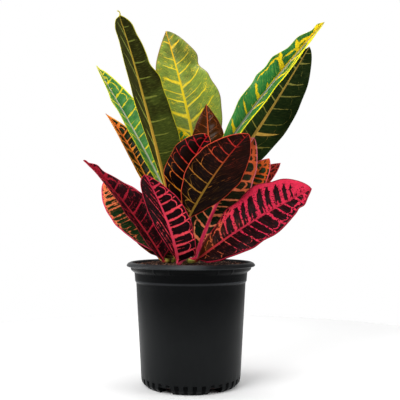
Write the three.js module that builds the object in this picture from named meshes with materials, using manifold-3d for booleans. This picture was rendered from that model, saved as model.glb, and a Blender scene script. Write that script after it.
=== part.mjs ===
// Potted croton: a black nursery pot filled with soil, three woody stems and their broad, variegated leaves.
// Millimetres, +Z up. The origin is the centre of the pot's base, on the surface that the pot stands on.
// The front of the plant looks along -Y, and +X is to its right.

import * as THREE from 'three';
import { mergeVertices } from 'three/addons/utils/BufferGeometryUtils.js';
import Module from 'manifold-3d';

const wasm = await Module();
wasm.setup();

// Driving dimensions of the pot
const POT_HEIGHT = 155.2;
const POT_SIDES = 72;
const RIM_RADIUS = 82.5;
const MOUTH_RADIUS = 75.5;
const COLLAR_RADIUS = 72.3;
const WALL_TOP_RADIUS = 70;
const WALL_FOOT_RADIUS = 63.4;
const FOOT_RADIUS = 57.5;
const WALL = 1.8;
const COLLAR_TOP = 149.4;
const COLLAR_FOOT = 131;
const FOOT_BAND = 11;
const FLOOR_TOP = 5;
const FLOOR_LIFT = 3;
const PAD_RADIUS = 24;
const RIB_DEPTH = 0.9;
const DRAIN_COUNT = 6;
const DRAIN_WIDTH = 18;
const DRAIN_HEIGHT = 7.5;
const DRAIN_INNER_RADIUS = 45;

// Driving dimensions of the soil and the stems
const GAP = 0.35;
const SOIL_SIDES = 32;
const SOIL_EDGE = 150.8;
const SOIL_CROWN = 153;
const SOIL_ROUGHNESS = 0.7;
const STEM_SIDES = 12;
const STEM_RINGS = 7;
const STEM_DEPTH = 22;

// Driving dimensions that all leaves share
const BLADE = 0.9;
const STALK_RADIUS = 1.8;
const RIB_HEIGHT = 1.7;
const TIP_HALF_WIDTH = 0.5;
const SIDE_PHASE = 2.1;
const BASE_SPREAD = 0.06;
const BLADE_STATIONS = [0, 0.07, 0.15, 0.24, 0.34, 0.45, 0.56, 0.67, 0.75, 0.82, 0.89, 0.95, 1];
const STALK_STATIONS = [0, 0.34, 0.67];
const ACROSS = [-1, -0.5, 0, 0.5, 1];

// Each stem: where it leaves the soil, where it ends, and its radius at the two ends.
const STEMS = {
  main: { name: 'stem_main', foot: [6, 12], top: [18, 18, 268], radii: [6, 3.6] },
  left: { name: 'stem_left', foot: [-28, -6], top: [-22, 2, 216], radii: [5, 3.2] },
  front: { name: 'stem_front', foot: [-7, -26], top: [-9, -24, 196], radii: [5.2, 3.1] },
};

// Each leaf: the stem, the height and the heading (degrees from +X) where its stalk leaves the stem; the blade's
// midrib as a cubic curve from base over two bends to the tip; the upper face's direction at base and tip; how far
// the margins curl up, and the height and number of their waves. left and right are the halves, seen on the upper
// face with the tip up: the half's width, where along the blade it is widest, how drawn out it is towards the base
// and towards the tip (a smaller number is fuller), and the degrees that it folds up from flat. nips are the bumps
// and notches of the margin: side (-1 left, 1 right), place along the blade, spread along it, and millimetres.
const LEAVES = [
  {
    name: 'leaf_tall_olive', stem: 'left', height: 196, heading: -60, color: 0x3d4a22,
    base: [-22, -4, 212], bends: [[-44, -12, 292], [-62, -26, 382]], tip: [-88, -45, 460],
    face: [[-0.1, 1, 0.1], [-0.05, 0.9, 0.3]], curl: -2, wave: 1, waves: 3,
    left: [34, 0.38, 0.8, 0.7, 16], right: [23, 0.66, 0.8, 0.25, 56],
    nips: [
      [-1, 0.955, 0.05, 5], [-1, 0.86, 0.05, 1.5], [-1, 0.745, 0.035, -2.2], [-1, 0.68, 0.04, 2],
      [1, 0.96, 0.04, 4],
    ],
  },
  {
    name: 'leaf_broad_light', stem: 'main', height: 236, heading: 100, color: 0x7d9a3a,
    base: [13, 28, 250], bends: [[4, 36, 324], [-15, 52, 402]], tip: [-37, 74, 478],
    face: [[0.15, -0.95, 0.3], [0.25, -0.9, 0.35]], curl: -3, wave: 1.4, waves: 3,
    left: [42, 0.52, 0.8, 0.95, 10], right: [50, 0.52, 0.8, 0.6, 10],
    nips: [[1, 0.745, 0.05, -8], [1, 0.65, 0.05, -3], [-1, 0.66, 0.05, -2]],
  },
  {
    name: 'leaf_young_red', stem: 'main', height: 262, heading: -80, color: 0x4a1a12,
    base: [21, 12, 272], bends: [[24, 15, 302], [22, 19, 335]], tip: [20, 21, 363],
    face: [[0, -0.97, 0.2], [0, -0.97, 0.25]], curl: -1, wave: 0.5, waves: 3,
    left: [22, 0.42, 0.7, 0.95, 8], right: [23, 0.42, 0.7, 0.95, 8],
  },
  {
    name: 'leaf_mottled_tip', stem: 'main', height: 246, heading: 190, color: 0x3f7a2a,
    base: [3, 14, 256], bends: [[-2, 9, 278], [-9, 5, 304]], tip: [-24, 4, 330],
    face: [[0.1, -1, 0.1], [0.1, -1, 0.2]], curl: -1, wave: 0.6, waves: 3,
    left: [19, 0.55, 0.8, 0.8, 10], right: [19, 0.55, 0.8, 0.8, 10],
  },
  {
    name: 'leaf_bright_green', stem: 'main', height: 254, heading: -25, color: 0x2f7d33,
    base: [29, 8, 274], bends: [[62, -4, 334], [110, -18, 392]], tip: [167, -36, 455],
    face: [[-0.2, -0.97, 0.1], [-0.1, -0.97, 0.15]], curl: -2, wave: 1.8, waves: 4,
    left: [23, 0.52, 0.95, 0.85, 26], right: [27, 0.5, 0.9, 0.8, 62],
    nips: [
      [-1, 0.85, 0.03, 1.2], [-1, 0.77, 0.03, -1.2], [-1, 0.683, 0.03, 1.6], [-1, 0.62, 0.025, -1],
      [-1, 0.557, 0.03, 1.8], [1, 0.93, 0.05, -3], [-1, 0.95, 0.03, -1],
    ],
  },
  {
    name: 'leaf_dark_olive', stem: 'main', height: 222, heading: 10, color: 0x22361a,
    base: [26, 15, 238], bends: [[64, 18, 290], [112, 22, 362]], tip: [159, 28, 442],
    face: [[0.2, 0.97, 0.1], [0.2, 0.97, 0.2]], curl: -2, wave: 1.2, waves: 3,
    left: [33, 0.55, 0.8, 0.65, 8], right: [31, 0.5, 0.8, 0.85, 8],
  },
  {
    name: 'leaf_maroon_left', stem: 'front', height: 184, heading: 150, color: 0x3a0e10,
    base: [-14, -19, 212], bends: [[-9, -23, 250], [2, -26, 290]], tip: [22, -27, 315],
    face: [[-0.25, -0.95, 0.1], [-0.3, -0.95, 0.15]], curl: -2, wave: 0.8, waves: 3,
    left: [33, 0.55, 0.8, 0.6, 10], right: [30, 0.5, 0.8, 0.65, 14],
  },
  {
    name: 'leaf_maroon_front', stem: 'front', height: 190, heading: -70, color: 0x3a140e,
    base: [-3, -32, 210], bends: [[15, -38, 245], [41, -49, 284]], tip: [70, -62, 311],
    face: [[0.25, -0.95, 0.1], [0.35, -0.93, 0.1]], curl: -2, wave: 0.9, waves: 3,
    left: [35, 0.48, 0.75, 0.75, 12], right: [31, 0.55, 0.75, 0.62, 14],
  },
  {
    name: 'leaf_pink_rib', stem: 'front', height: 159, heading: 25, color: 0x1f2f14,
    base: [7, -19, 163], bends: [[21, -10, 208], [48, -4, 264]], tip: [82, 4, 316],
    face: [[0, -1, 0.1], [0.1, -1, 0.1]], curl: -2, wave: 1.2, waves: 3,
    left: [27, 0.5, 0.35, 0.75, 3], right: [31, 0.58, 0.9, 0.7, 8],
  },
  {
    name: 'leaf_orange_spotted', stem: 'main', height: 190, heading: -15, color: 0xa8461c,
    base: [24, 9, 203], bends: [[44, 8, 224], [80, 11, 262]], tip: [103, 16, 290],
    face: [[-0.1, -1, 0.15], [0, -1, 0.2]], curl: -1, wave: 0.8, waves: 3,
    left: [19, 0.6, 0.8, 0.85, 8], right: [20, 0.62, 0.8, 0.7, 8],
  },
  {
    name: 'leaf_small_red', stem: 'main', height: 196, heading: 35, color: 0x5e1a1c,
    base: [24, 27, 208], bends: [[54, 36, 232], [90, 44, 264]], tip: [122, 48, 287],
    face: [[-0.2, -1, 0.2], [-0.1, -1, 0.2]], curl: -1, wave: 0.8, waves: 3,
    left: [16, 0.6, 0.8, 0.9, 10], right: [16, 0.6, 0.8, 0.8, 10],
  },
  {
    name: 'leaf_crimson_right', stem: 'front', height: 157, heading: -25, color: 0x8a1730,
    base: [8, -34, 158.5], bends: [[38, -39, 184], [83, -49, 213]], tip: [146, -56, 246],
    face: [[-0.3, -0.8, 0.55], [-0.25, -0.75, 0.6]], curl: -2, wave: 1.5, waves: 4,
    left: [43, 0.64, 0.5, 0.58, 8], right: [37, 0.53, 0.5, 0.78, 8],
    nips: [[1, 0.9, 0.03, 1.5], [1, 0.85, 0.025, -2.5]],
  },
  {
    name: 'leaf_crimson_far_left', stem: 'left', height: 157.5, heading: -110, color: 0x5c1220,
    base: [-34.5, -20, 157.5], bends: [[-56, -27, 199], [-104, -42, 262]], tip: [-131, -46, 281],
    face: [[0.3, -0.85, 0.4], [0.3, -0.8, 0.5]], curl: -2, wave: 1.4, waves: 4,
    left: [24, 0.42, 0.6, 0.95, 49], right: [27, 0.42, 0.35, 1.6, 18],
    nips: [[1, 0.9, 0.05, 4.5], [1, 0.985, 0.02, 1.8], [-1, 0.95, 0.04, 2.5]],
  },
  {
    name: 'leaf_orange_left', stem: 'left', height: 160, heading: 165, color: 0xa65a26,
    base: [-40, -4, 166], bends: [[-56, -5, 195], [-86, -7, 231]], tip: [-112, -4, 258],
    face: [[0.1, -1, 0.15], [0.1, -1, 0.2]], curl: -1, wave: 0.8, waves: 3,
    left: [26, 0.58, 0.55, 0.6, 8], right: [26, 0.58, 0.8, 0.6, 8],
  },
  {
    name: 'leaf_crimson_front', stem: 'front', height: 160, heading: -105, color: 0x7a142a,
    base: [-15.5, -44, 156.2], bends: [[-19, -53, 186], [-32, -60, 223]], tip: [-54, -64, 262],
    face: [[0.1, -1, 0.1], [0.1, -1, 0.15]], curl: -2, wave: 1.2, waves: 4,
    left: [27, 0.6, 0.7, 0.35, 48], right: [28, 0.42, 0.14, 0.85, 20],
  },
  {
    name: 'leaf_narrow_orange', stem: 'left', height: 184, heading: 150, color: 0x4e3a18,
    base: [-38, 17, 212], bends: [[-57, 44, 263], [-93, 54, 330]], tip: [-119, 52, 356],
    face: [[0.1, -1, 0.1], [0.1, -1, 0.1]], curl: -1, wave: 0.8, waves: 3,
    left: [21, 0.5, 0.8, 0.8, 64], right: [19, 0.55, 0.8, 1.15, 12],
  },
  {
    name: 'leaf_narrow_green', stem: 'left', height: 204, heading: 120, color: 0x3f8a35,
    base: [-26, 15, 224], bends: [[-47, 36, 278], [-96, 46, 362]], tip: [-131, 44, 421],
    face: [[0.1, -1, 0.1], [0.1, -1, 0.1]], curl: -1, wave: 1, waves: 4,
    left: [20, 0.45, 0.8, 0.7, 65], right: [28, 0.45, 0.8, 0.78, 14],
    nips: [[-1, 0.74, 0.05, 6], [1, 0.97, 0.02, -1.5]],
  },
  {
    name: 'leaf_brown_behind', stem: 'left', height: 188, heading: -120, color: 0x4a3018,
    base: [-32, -9, 202], bends: [[-38, -14, 222], [-47, -19, 246]], tip: [-58, -23, 265],
    face: [[0.1, -1, 0.1], [0.1, -1, 0.1]], curl: -1, wave: 0.4, waves: 2,
    left: [9, 0.55, 0.8, 0.7, 10], right: [9, 0.55, 0.8, 0.7, 10],
  },
  {
    name: 'leaf_low_middle', stem: 'left', height: 156.5, heading: -20, color: 0x3c3014,
    base: [-21, -13.2, 160.5], bends: [[-22.8, -13.2, 168], [-25, -13, 177]], tip: [-27, -13, 186],
    face: [[0.05, -1, 0.1], [0.05, -1, 0.1]], curl: -1, wave: 0.5, waves: 2,
    left: [14.5, 0.4, 0.35, 0.8, 2], right: [8.5, 0.4, 0.3, 0.8, 2],
  },
  {
    name: 'leaf_high_right', stem: 'main', height: 230, heading: 70, color: 0x3a6a2a,
    base: [26, 38, 246], bends: [[56, 60, 300], [96, 82, 362]], tip: [132, 98, 414],
    face: [[-0.3, -0.85, 0.45], [-0.35, -0.8, 0.5]], curl: -2, wave: 1.4, waves: 3,
    left: [23, 0.5, 0.9, 1, 12], right: [22, 0.5, 0.9, 1, 12],
  },
  {
    name: 'leaf_high_left', stem: 'main', height: 226, heading: 140, color: 0x55702c,
    base: [-4, 38, 244], bends: [[-24, 56, 302], [-50, 76, 368]], tip: [-80, 92, 424],
    face: [[0.3, -0.85, 0.45], [0.35, -0.8, 0.5]], curl: -2, wave: 1.4, waves: 3,
    left: [18, 0.5, 0.9, 1, 12], right: [18, 0.5, 0.9, 1, 12],
  },
  {
    name: 'leaf_back_tall', stem: 'main', height: 214, heading: 80, color: 0x6f8f36,
    base: [16, 44, 228], bends: [[22, 78, 286], [20, 108, 348]], tip: [16, 132, 402],
    face: [[0.35, -0.8, 0.5], [0.45, -0.75, 0.45]], curl: -3, wave: 1.6, waves: 3,
    left: [29, 0.5, 0.8, 0.95, 14], right: [29, 0.5, 0.8, 0.95, 14],
  },
  {
    name: 'leaf_back_right', stem: 'main', height: 206, heading: 55, color: 0x4c7a2c,
    base: [26, 44, 220], bends: [[58, 74, 262], [98, 96, 314]], tip: [134, 108, 360],
    face: [[-0.5, -0.6, 0.6], [-0.5, -0.5, 0.7]], curl: -2, wave: 1.4, waves: 3,
    left: [23, 0.5, 0.8, 0.95, 10], right: [21, 0.5, 0.8, 0.95, 10],
  },
  {
    name: 'leaf_back_left', stem: 'left', height: 176, heading: 110, color: 0x54702a,
    base: [-34, 22, 196], bends: [[-42, 52, 242], [-52, 78, 302]], tip: [-64, 98, 356],
    face: [[0.4, -0.7, 0.5], [0.5, -0.65, 0.5]], curl: -2, wave: 1.4, waves: 3,
    left: [22, 0.5, 0.8, 0.95, 12], right: [22, 0.5, 0.8, 0.95, 12],
  },
  {
    name: 'leaf_back_middle', stem: 'main', height: 192, heading: 120, color: 0x6a3a1c,
    base: [-2, 36, 204], bends: [[-8, 66, 240], [-13, 96, 280]], tip: [-16, 124, 318],
    face: [[0, -0.75, 0.65], [0, -0.7, 0.7]], curl: -2, wave: 1.6, waves: 3,
    left: [29, 0.52, 0.8, 0.8, 10], right: [29, 0.52, 0.8, 0.8, 10],
  },
  {
    name: 'leaf_low_right', stem: 'main', height: 172, heading: 15, color: 0x6a1c22,
    base: [28, 24, 180], bends: [[62, 42, 200], [98, 60, 222]], tip: [130, 74, 242],
    face: [[-0.3, -0.5, 0.8], [-0.3, -0.5, 0.8]], curl: -2, wave: 1.4, waves: 3,
    left: [20, 0.5, 0.8, 0.9, 10], right: [20, 0.5, 0.8, 0.9, 10],
  },
  {
    name: 'leaf_low_left', stem: 'left', height: 157, heading: 125, color: 0x74301e,
    base: [-42, 14, 160], bends: [[-66, 28, 194], [-90, 44, 228]], tip: [-110, 58, 254],
    face: [[0.3, -0.5, 0.8], [0.3, -0.5, 0.8]], curl: -2, wave: 1.4, waves: 3,
    left: [20, 0.4, 0.6, 0.9, 10], right: [12, 0.5, 0.8, 0.9, 10],
  },
  {
    name: 'leaf_low_back', stem: 'main', height: 170, heading: 95, color: 0x7a1a2a,
    base: [10, 38, 180], bends: [[14, 68, 198], [18, 100, 212]], tip: [20, 130, 216],
    face: [[0, -0.3, 0.95], [0, -0.15, 1]], curl: -3, wave: 1.6, waves: 3,
    left: [27, 0.5, 0.8, 0.85, 10], right: [27, 0.5, 0.8, 0.85, 10],
  },
  {
    name: 'leaf_low_back_left', stem: 'left', height: 163, heading: 100, color: 0x7c2a20,
    base: [-32, 22, 172], bends: [[-42, 50, 194], [-54, 80, 210]], tip: [-66, 106, 216],
    face: [[0.1, -0.4, 0.9], [0.1, -0.2, 1]], curl: -3, wave: 1.6, waves: 3,
    left: [23, 0.5, 0.8, 0.85, 10], right: [23, 0.5, 0.8, 0.85, 10],
  },
  {
    name: 'leaf_low_back_right', stem: 'main', height: 162, heading: 50, color: 0x5c1a20,
    base: [28, 36, 172], bends: [[50, 62, 190], [72, 90, 204]], tip: [92, 114, 210],
    face: [[-0.1, -0.4, 0.9], [-0.1, -0.2, 1]], curl: -3, wave: 1.6, waves: 3,
    left: [23, 0.5, 0.8, 0.85, 10], right: [23, 0.5, 0.8, 0.85, 10],
  },
];

// The same seeded run of numbers between 0 and 1 each time
function seededDraws(seed) {
  let state = seed;
  return () => {
    state = (state * 1664525 + 1013904223) % 4294967296;
    return state / 4294967296;
  };
}

function material(color, roughness) {
  return new THREE.MeshStandardMaterial({ color, roughness, metalness: 0 });
}

// A closed geometry as a solid, for cutting
function toSolid(geometry) {
  const bare = geometry.clone();
  bare.deleteAttribute('normal');
  bare.deleteAttribute('uv');
  const merged = mergeVertices(bare, 1e-4);
  const corners = merged.index.array;
  const kept = [];
  for (let i = 0; i < corners.length; i += 3) {
    const [a, b, c] = [corners[i], corners[i + 1], corners[i + 2]];
    if (a !== b && b !== c && c !== a) kept.push(a, b, c);
  }
  const vertProperties = new Float32Array(merged.attributes.position.array);
  return new wasm.Manifold(new wasm.Mesh({ numProp: 3, vertProperties, triVerts: new Uint32Array(kept) }));
}

// A solid back as a geometry
function toGeometry(solid) {
  const mesh = solid.getMesh();
  const geometry = new THREE.BufferGeometry();
  geometry.setAttribute('position', new THREE.BufferAttribute(new Float32Array(mesh.vertProperties), 3));
  geometry.setIndex(new THREE.BufferAttribute(new Uint32Array(mesh.triVerts), 1));
  geometry.computeVertexNormals();
  return geometry;
}

// A closed geometry from rings of points, bottom ring first, each turning the same way, with flat or pointed ends
function ringsGeometry(rings, bottom, top) {
  const sides = rings[0].length;
  const points = rings.flat();
  const faces = [];
  for (let r = 0; r + 1 < rings.length; r += 1) {
    for (let i = 0; i < sides; i += 1) {
      const j = (i + 1) % sides;
      const [a, b, c, d] = [r * sides + i, r * sides + j, (r + 1) * sides + j, (r + 1) * sides + i];
      faces.push(a, b, c, a, c, d);
    }
  }
  const last = (rings.length - 1) * sides;
  const low = points.push(bottom) - 1;
  const high = points.push(top) - 1;
  for (let i = 0; i < sides; i += 1) {
    const j = (i + 1) % sides;
    faces.push(low, j, i, high, last + i, last + j);
  }
  const geometry = new THREE.BufferGeometry();
  geometry.setAttribute('position', new THREE.Float32BufferAttribute(points.flat(), 3));
  geometry.setIndex(faces);
  geometry.computeVertexNormals();
  return geometry;
}

// The pot's wall, lip and floor turned about its axis, with ribs pressed into the foot and the drains cut out
function potGeometry() {
  const profile = [
    [0, 0], [PAD_RADIUS, 0], [PAD_RADIUS + 2, FLOOR_LIFT], [FOOT_RADIUS - 12, FLOOR_LIFT],
    [FOOT_RADIUS - 10, 0], [FOOT_RADIUS, 0], [WALL_FOOT_RADIUS - 1, 5], [WALL_FOOT_RADIUS, FOOT_BAND],
    [WALL_TOP_RADIUS, COLLAR_FOOT - 2], [WALL_TOP_RADIUS + 1.4, COLLAR_FOOT], [COLLAR_RADIUS, COLLAR_TOP - 7.4],
    [RIM_RADIUS - 6.5, COLLAR_TOP - 4.2], [RIM_RADIUS - 5.2, COLLAR_TOP], [RIM_RADIUS - 1.1, COLLAR_TOP],
    [RIM_RADIUS, COLLAR_TOP + 1.5], [RIM_RADIUS - 1.9, POT_HEIGHT - 1.6], [RIM_RADIUS - 5.3, POT_HEIGHT],
    [MOUTH_RADIUS, POT_HEIGHT - 1.2], [MOUTH_RADIUS - 0.1, COLLAR_TOP + 0.1], [COLLAR_RADIUS - 1.7, COLLAR_TOP - 6.4],
    [COLLAR_RADIUS - 2.5, COLLAR_FOOT + 0.8], [WALL_TOP_RADIUS - 1.6, COLLAR_FOOT - 1.4],
    [WALL_FOOT_RADIUS - WALL, FOOT_BAND], [FOOT_RADIUS - 0.5, FLOOR_TOP], [0, FLOOR_TOP],
  ].map(([r, z]) => new THREE.Vector2(r, z));
  const turned = new THREE.LatheGeometry(profile, POT_SIDES);
  turned.rotateX(Math.PI / 2);
  const places = turned.attributes.position;
  for (let i = 0; i < places.count; i += 1) {
    const [x, y, z] = [places.getX(i), places.getY(i), places.getZ(i)];
    const radius = Math.hypot(x, y);
    const side = Math.round((Math.atan2(y, x) / (2 * Math.PI)) * POT_SIDES);
    if (radius > FOOT_RADIUS - 1e-3 && z < FLOOR_TOP + 0.1 && Math.abs(side) % 2 === 1) {
      const share = (radius - RIB_DEPTH) / radius;
      places.setXY(i, x * share, y * share);
    }
  }
  let pot = toSolid(turned);
  for (let i = 0; i < DRAIN_COUNT; i += 1) {
    const drain = new THREE.BoxGeometry(RIM_RADIUS - DRAIN_INNER_RADIUS, DRAIN_WIDTH, DRAIN_HEIGHT + 2);
    drain.translate((RIM_RADIUS + DRAIN_INNER_RADIUS) / 2, 0, DRAIN_HEIGHT / 2 - 1);
    drain.rotateZ(((i + 0.5) * 2 * Math.PI) / DRAIN_COUNT + Math.PI / 6);
    pot = pot.subtract(toSolid(drain));
  }
  return toGeometry(pot);
}

// The stem's centre and radius at a height: upright in the soil, then bending over to its top
function stemAt(stem, height) {
  const share = Math.max(0, (height - SOIL_CROWN) / (stem.top[2] - SOIL_CROWN));
  const bend = share ** 1.4;
  return {
    x: stem.foot[0] + (stem.top[0] - stem.foot[0]) * bend,
    y: stem.foot[1] + (stem.top[1] - stem.foot[1]) * bend,
    radius: stem.radii[0] + (stem.radii[1] - stem.radii[0]) * share,
  };
}

function stemGeometry(stem) {
  const heights = [SOIL_CROWN - STEM_DEPTH];
  for (let i = 0; i <= STEM_RINGS; i += 1) heights.push(SOIL_CROWN + ((stem.top[2] - SOIL_CROWN) * i) / STEM_RINGS);
  const rings = heights.map((z) => {
    const { x, y, radius } = stemAt(stem, z);
    return Array.from({ length: STEM_SIDES }, (_, i) => {
      const turn = (i * 2 * Math.PI) / STEM_SIDES;
      return [x + radius * Math.cos(turn), y + radius * Math.sin(turn), z];
    });
  });
  return ringsGeometry(rings, [...stem.foot, heights[0]], [stem.top[0], stem.top[1], stem.top[2] + 1]);
}

// The soil fills the pot to just under the lip, with an uneven top and a plain hole for each stem
function soilGeometry() {
  const draw = seededDraws(7);
  const side = [
    [FOOT_RADIUS - 1.5, FLOOR_TOP + GAP], [WALL_FOOT_RADIUS - WALL - 0.8, FOOT_BAND + 0.4],
    [WALL_TOP_RADIUS - 2.2, COLLAR_FOOT - 1.4], [COLLAR_RADIUS - 3.1, COLLAR_FOOT + 1],
    [COLLAR_RADIUS - 2.3, COLLAR_TOP - 6.2], [MOUTH_RADIUS - 0.8, COLLAR_TOP + 0.3], [MOUTH_RADIUS - 0.8, SOIL_EDGE],
  ];
  const tops = [0.86, 0.66, 0.46, 0.26].map((share) => [
    (MOUTH_RADIUS - 1) * share, SOIL_EDGE + (SOIL_CROWN - SOIL_EDGE) * (1 - share ** 3),
  ]);
  const rings = [...side, ...tops].map(([radius, z], r) => Array.from({ length: SOIL_SIDES }, (_, i) => {
    const turn = (i * 2 * Math.PI) / SOIL_SIDES;
    const rough = r < side.length ? 0 : (draw() - 0.5) * 2 * SOIL_ROUGHNESS;
    return [radius * Math.cos(turn), radius * Math.sin(turn), z + rough];
  }));
  let soil = toSolid(ringsGeometry(rings, [0, 0, FLOOR_TOP + GAP], [0, 0, SOIL_CROWN]));
  for (const stem of Object.values(STEMS)) {
    const depth = STEM_DEPTH + GAP;
    const hole = new THREE.CylinderGeometry(stem.radii[0] + 2 * GAP, stem.radii[0] + 2 * GAP, depth + 10, STEM_SIDES);
    hole.rotateX(Math.PI / 2);
    hole.rotateZ(Math.PI / 2);
    hole.translate(stem.foot[0], stem.foot[1], SOIL_CROWN - depth + (depth + 10) / 2);
    soil = soil.subtract(toSolid(hole));
  }
  return toGeometry(soil);
}

const vector = (list) => new THREE.Vector3(...list);

// A stalk that leaves the stem squarely and runs smoothly into the blade's midrib
function stalkCurve(leaf) {
  const { x, y, radius } = stemAt(STEMS[leaf.stem], leaf.height);
  const heading = THREE.MathUtils.degToRad(leaf.heading);
  const out = new THREE.Vector3(Math.cos(heading), Math.sin(heading), 0);
  const root = new THREE.Vector3(x, y, leaf.height).addScaledVector(out, radius + GAP);
  const base = vector(leaf.base);
  const reach = root.distanceTo(base) * 0.38;
  const along = vector(leaf.bends[0]).sub(base).normalize();
  return new THREE.CubicBezierCurve3(
    root, root.clone().addScaledVector(out, reach), base.clone().addScaledVector(along, -reach), base,
  );
}

// How wide half a blade is at v along its length, as a share of its greatest width
function halfProfile([, widest, towardsBase, towardsTip], v) {
  if (v <= 0 || v >= 1) return 0;
  const bulge = Math.log(0.5) / Math.log(widest);
  return Math.sin(Math.PI * v ** bulge) ** (v < widest ? towardsBase : towardsTip);
}

// Half a blade's width at v along its length, with its bumps and notches
function halfWidth(leaf, side, v) {
  const half = side < 0 ? leaf.left : leaf.right;
  let width = half[0] * halfProfile(half, v);
  for (const [where, centre, spread, change] of leaf.nips ?? []) {
    if (where === side) width += change * Math.exp(-(((v - centre) / spread) ** 2));
  }
  return Math.max(TIP_HALF_WIDTH, width);
}

// The section across the leaf: points [across, up] of the upper face and of the lower face
function leafSection(leaf, v, index) {
  const upper = [];
  const lower = [];
  const rib = RIB_HEIGHT * (1 - v) ** 0.6;
  const spread = THREE.MathUtils.smoothstep(v, 0, BASE_SPREAD);
  ACROSS.forEach((u, i) => {
    const half = u < 0 ? leaf.left : leaf.right;
    const profile = halfProfile(half, v);
    const width = halfWidth(leaf, u < 0 ? -1 : 1, v);
    const fold = THREE.MathUtils.degToRad(half[4]);
    const phase = index + (u < 0 ? 0 : SIDE_PHASE);
    const ripple = Math.sin(2 * Math.PI * leaf.waves * v + phase) * leaf.wave;
    const lift = (leaf.curl + ripple) * u * u * profile;
    const flat = u * width * Math.cos(fold);
    const up = Math.abs(u) * width * Math.sin(fold) + lift;
    const turn = Math.PI * (1 - (i + 0.5) / ACROSS.length);
    const round = [STALK_RADIUS * Math.cos(turn), STALK_RADIUS * Math.sin(turn)];
    const keel = u === 0 ? rib : 0;
    const mix = (a, b) => a + (b - a) * spread;
    upper.push([mix(round[0], flat), mix(round[1], up + BLADE / 2)]);
    lower.push([mix(round[0], flat), mix(-round[1], up - BLADE / 2 - keel)]);
  });
  return { upper, lower };
}

// One leaf, stalk and blade, as one closed body
function leafGeometry(leaf, index) {
  const stalk = stalkCurve(leaf);
  const midrib = new THREE.CubicBezierCurve3(
    vector(leaf.base), vector(leaf.bends[0]), vector(leaf.bends[1]), vector(leaf.tip),
  );
  const stations = [
    ...STALK_STATIONS.map((share) => ({ place: stalk.getPointAt(share), along: stalk.getTangentAt(share), v: 0 })),
    ...BLADE_STATIONS.map((v) => ({ place: midrib.getPointAt(v), along: midrib.getTangentAt(v), v })),
  ];
  const [faceBase, faceTip] = leaf.face.map(vector);
  const points = [];
  for (const { place, along, v } of stations) {
    const face = faceBase.clone().lerp(faceTip, v);
    const up = face.addScaledVector(along, -face.dot(along)).normalize();
    const across = along.clone().cross(up);
    const { upper, lower } = leafSection(leaf, v, index);
    for (const [flat, lift] of [...upper, ...lower]) {
      const point = place.clone().addScaledVector(across, flat).addScaledVector(up, lift);
      points.push(point.x, point.y, point.z);
    }
  }
  const n = ACROSS.length;
  const faces = [];
  const quad = (a, b, c, d) => faces.push(a, b, c, a, c, d);
  for (let s = 0; s + 1 < stations.length; s += 1) {
    const [here, next] = [s * 2 * n, (s + 1) * 2 * n];
    for (let i = 0; i + 1 < n; i += 1) {
      faces.push(here + i, here + i + 1, next + i + 1, here + i, next + i + 1, next + i);
      faces.push(here + n + i, next + n + i + 1, here + n + i + 1, here + n + i, next + n + i, next + n + i + 1);
    }
    quad(here, next, next + n, here + n);
    quad(here + n - 1, here + 2 * n - 1, next + 2 * n - 1, next + n - 1);
  }
  const end = (stations.length - 1) * 2 * n;
  for (let i = 0; i + 1 < n; i += 1) {
    quad(i, i + n, i + n + 1, i + 1);
    quad(end + i, end + i + 1, end + n + i + 1, end + n + i);
  }
  const geometry = new THREE.BufferGeometry();
  geometry.setAttribute('position', new THREE.Float32BufferAttribute(points, 3));
  geometry.setIndex(faces);
  geometry.computeVertexNormals();
  return geometry;
}

function namedMesh(name, geometry, finish) {
  const mesh = new THREE.Mesh(geometry, finish);
  mesh.name = name;
  return mesh;
}

const croton = new THREE.Group();
croton.add(namedMesh('pot', potGeometry(), material(0x17191a, 0.45)));
croton.add(namedMesh('soil', soilGeometry(), material(0x2e1a12, 0.95)));

const stems = new THREE.Group();
for (const stem of Object.values(STEMS)) {
  stems.add(namedMesh(stem.name, stemGeometry(stem), material(0x6b5a3a, 0.8)));
}
croton.add(stems);

const leaves = new THREE.Group();
LEAVES.forEach((leaf, index) => {
  leaves.add(namedMesh(leaf.name, leafGeometry(leaf, index), material(leaf.color, 0.4)));
});
croton.add(leaves);

export default croton;
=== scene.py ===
"""Potted croton: the looks of the leaves, stems, soil and nursery pot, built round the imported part.

Sizes are in millimetres in the part's own frame, and each mesh is turned to metres when it is made.
"""

import logging
import math
from collections.abc import Callable
from dataclasses import dataclass, field, replace
from enum import Enum
from typing import NamedTuple

import bmesh
import bpy
import numpy as np
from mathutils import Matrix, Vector


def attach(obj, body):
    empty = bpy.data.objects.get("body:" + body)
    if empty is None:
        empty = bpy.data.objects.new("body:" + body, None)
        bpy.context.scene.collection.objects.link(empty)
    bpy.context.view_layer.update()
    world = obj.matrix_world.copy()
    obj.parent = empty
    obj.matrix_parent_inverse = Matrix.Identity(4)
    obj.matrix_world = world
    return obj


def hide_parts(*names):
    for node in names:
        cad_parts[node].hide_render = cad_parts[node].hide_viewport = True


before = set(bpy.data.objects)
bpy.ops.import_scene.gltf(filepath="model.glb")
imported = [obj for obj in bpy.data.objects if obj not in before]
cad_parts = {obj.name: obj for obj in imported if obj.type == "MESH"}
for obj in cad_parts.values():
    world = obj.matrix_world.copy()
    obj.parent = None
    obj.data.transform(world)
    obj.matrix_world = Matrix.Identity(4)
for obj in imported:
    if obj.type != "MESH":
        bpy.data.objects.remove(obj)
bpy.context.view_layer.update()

LOG = logging.getLogger("potted_croton")
MM = 0.001
BODY = "root"
UV_NAME = "OFBake"

Point = tuple[float, float, float]
Colour = tuple[float, float, float]


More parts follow.
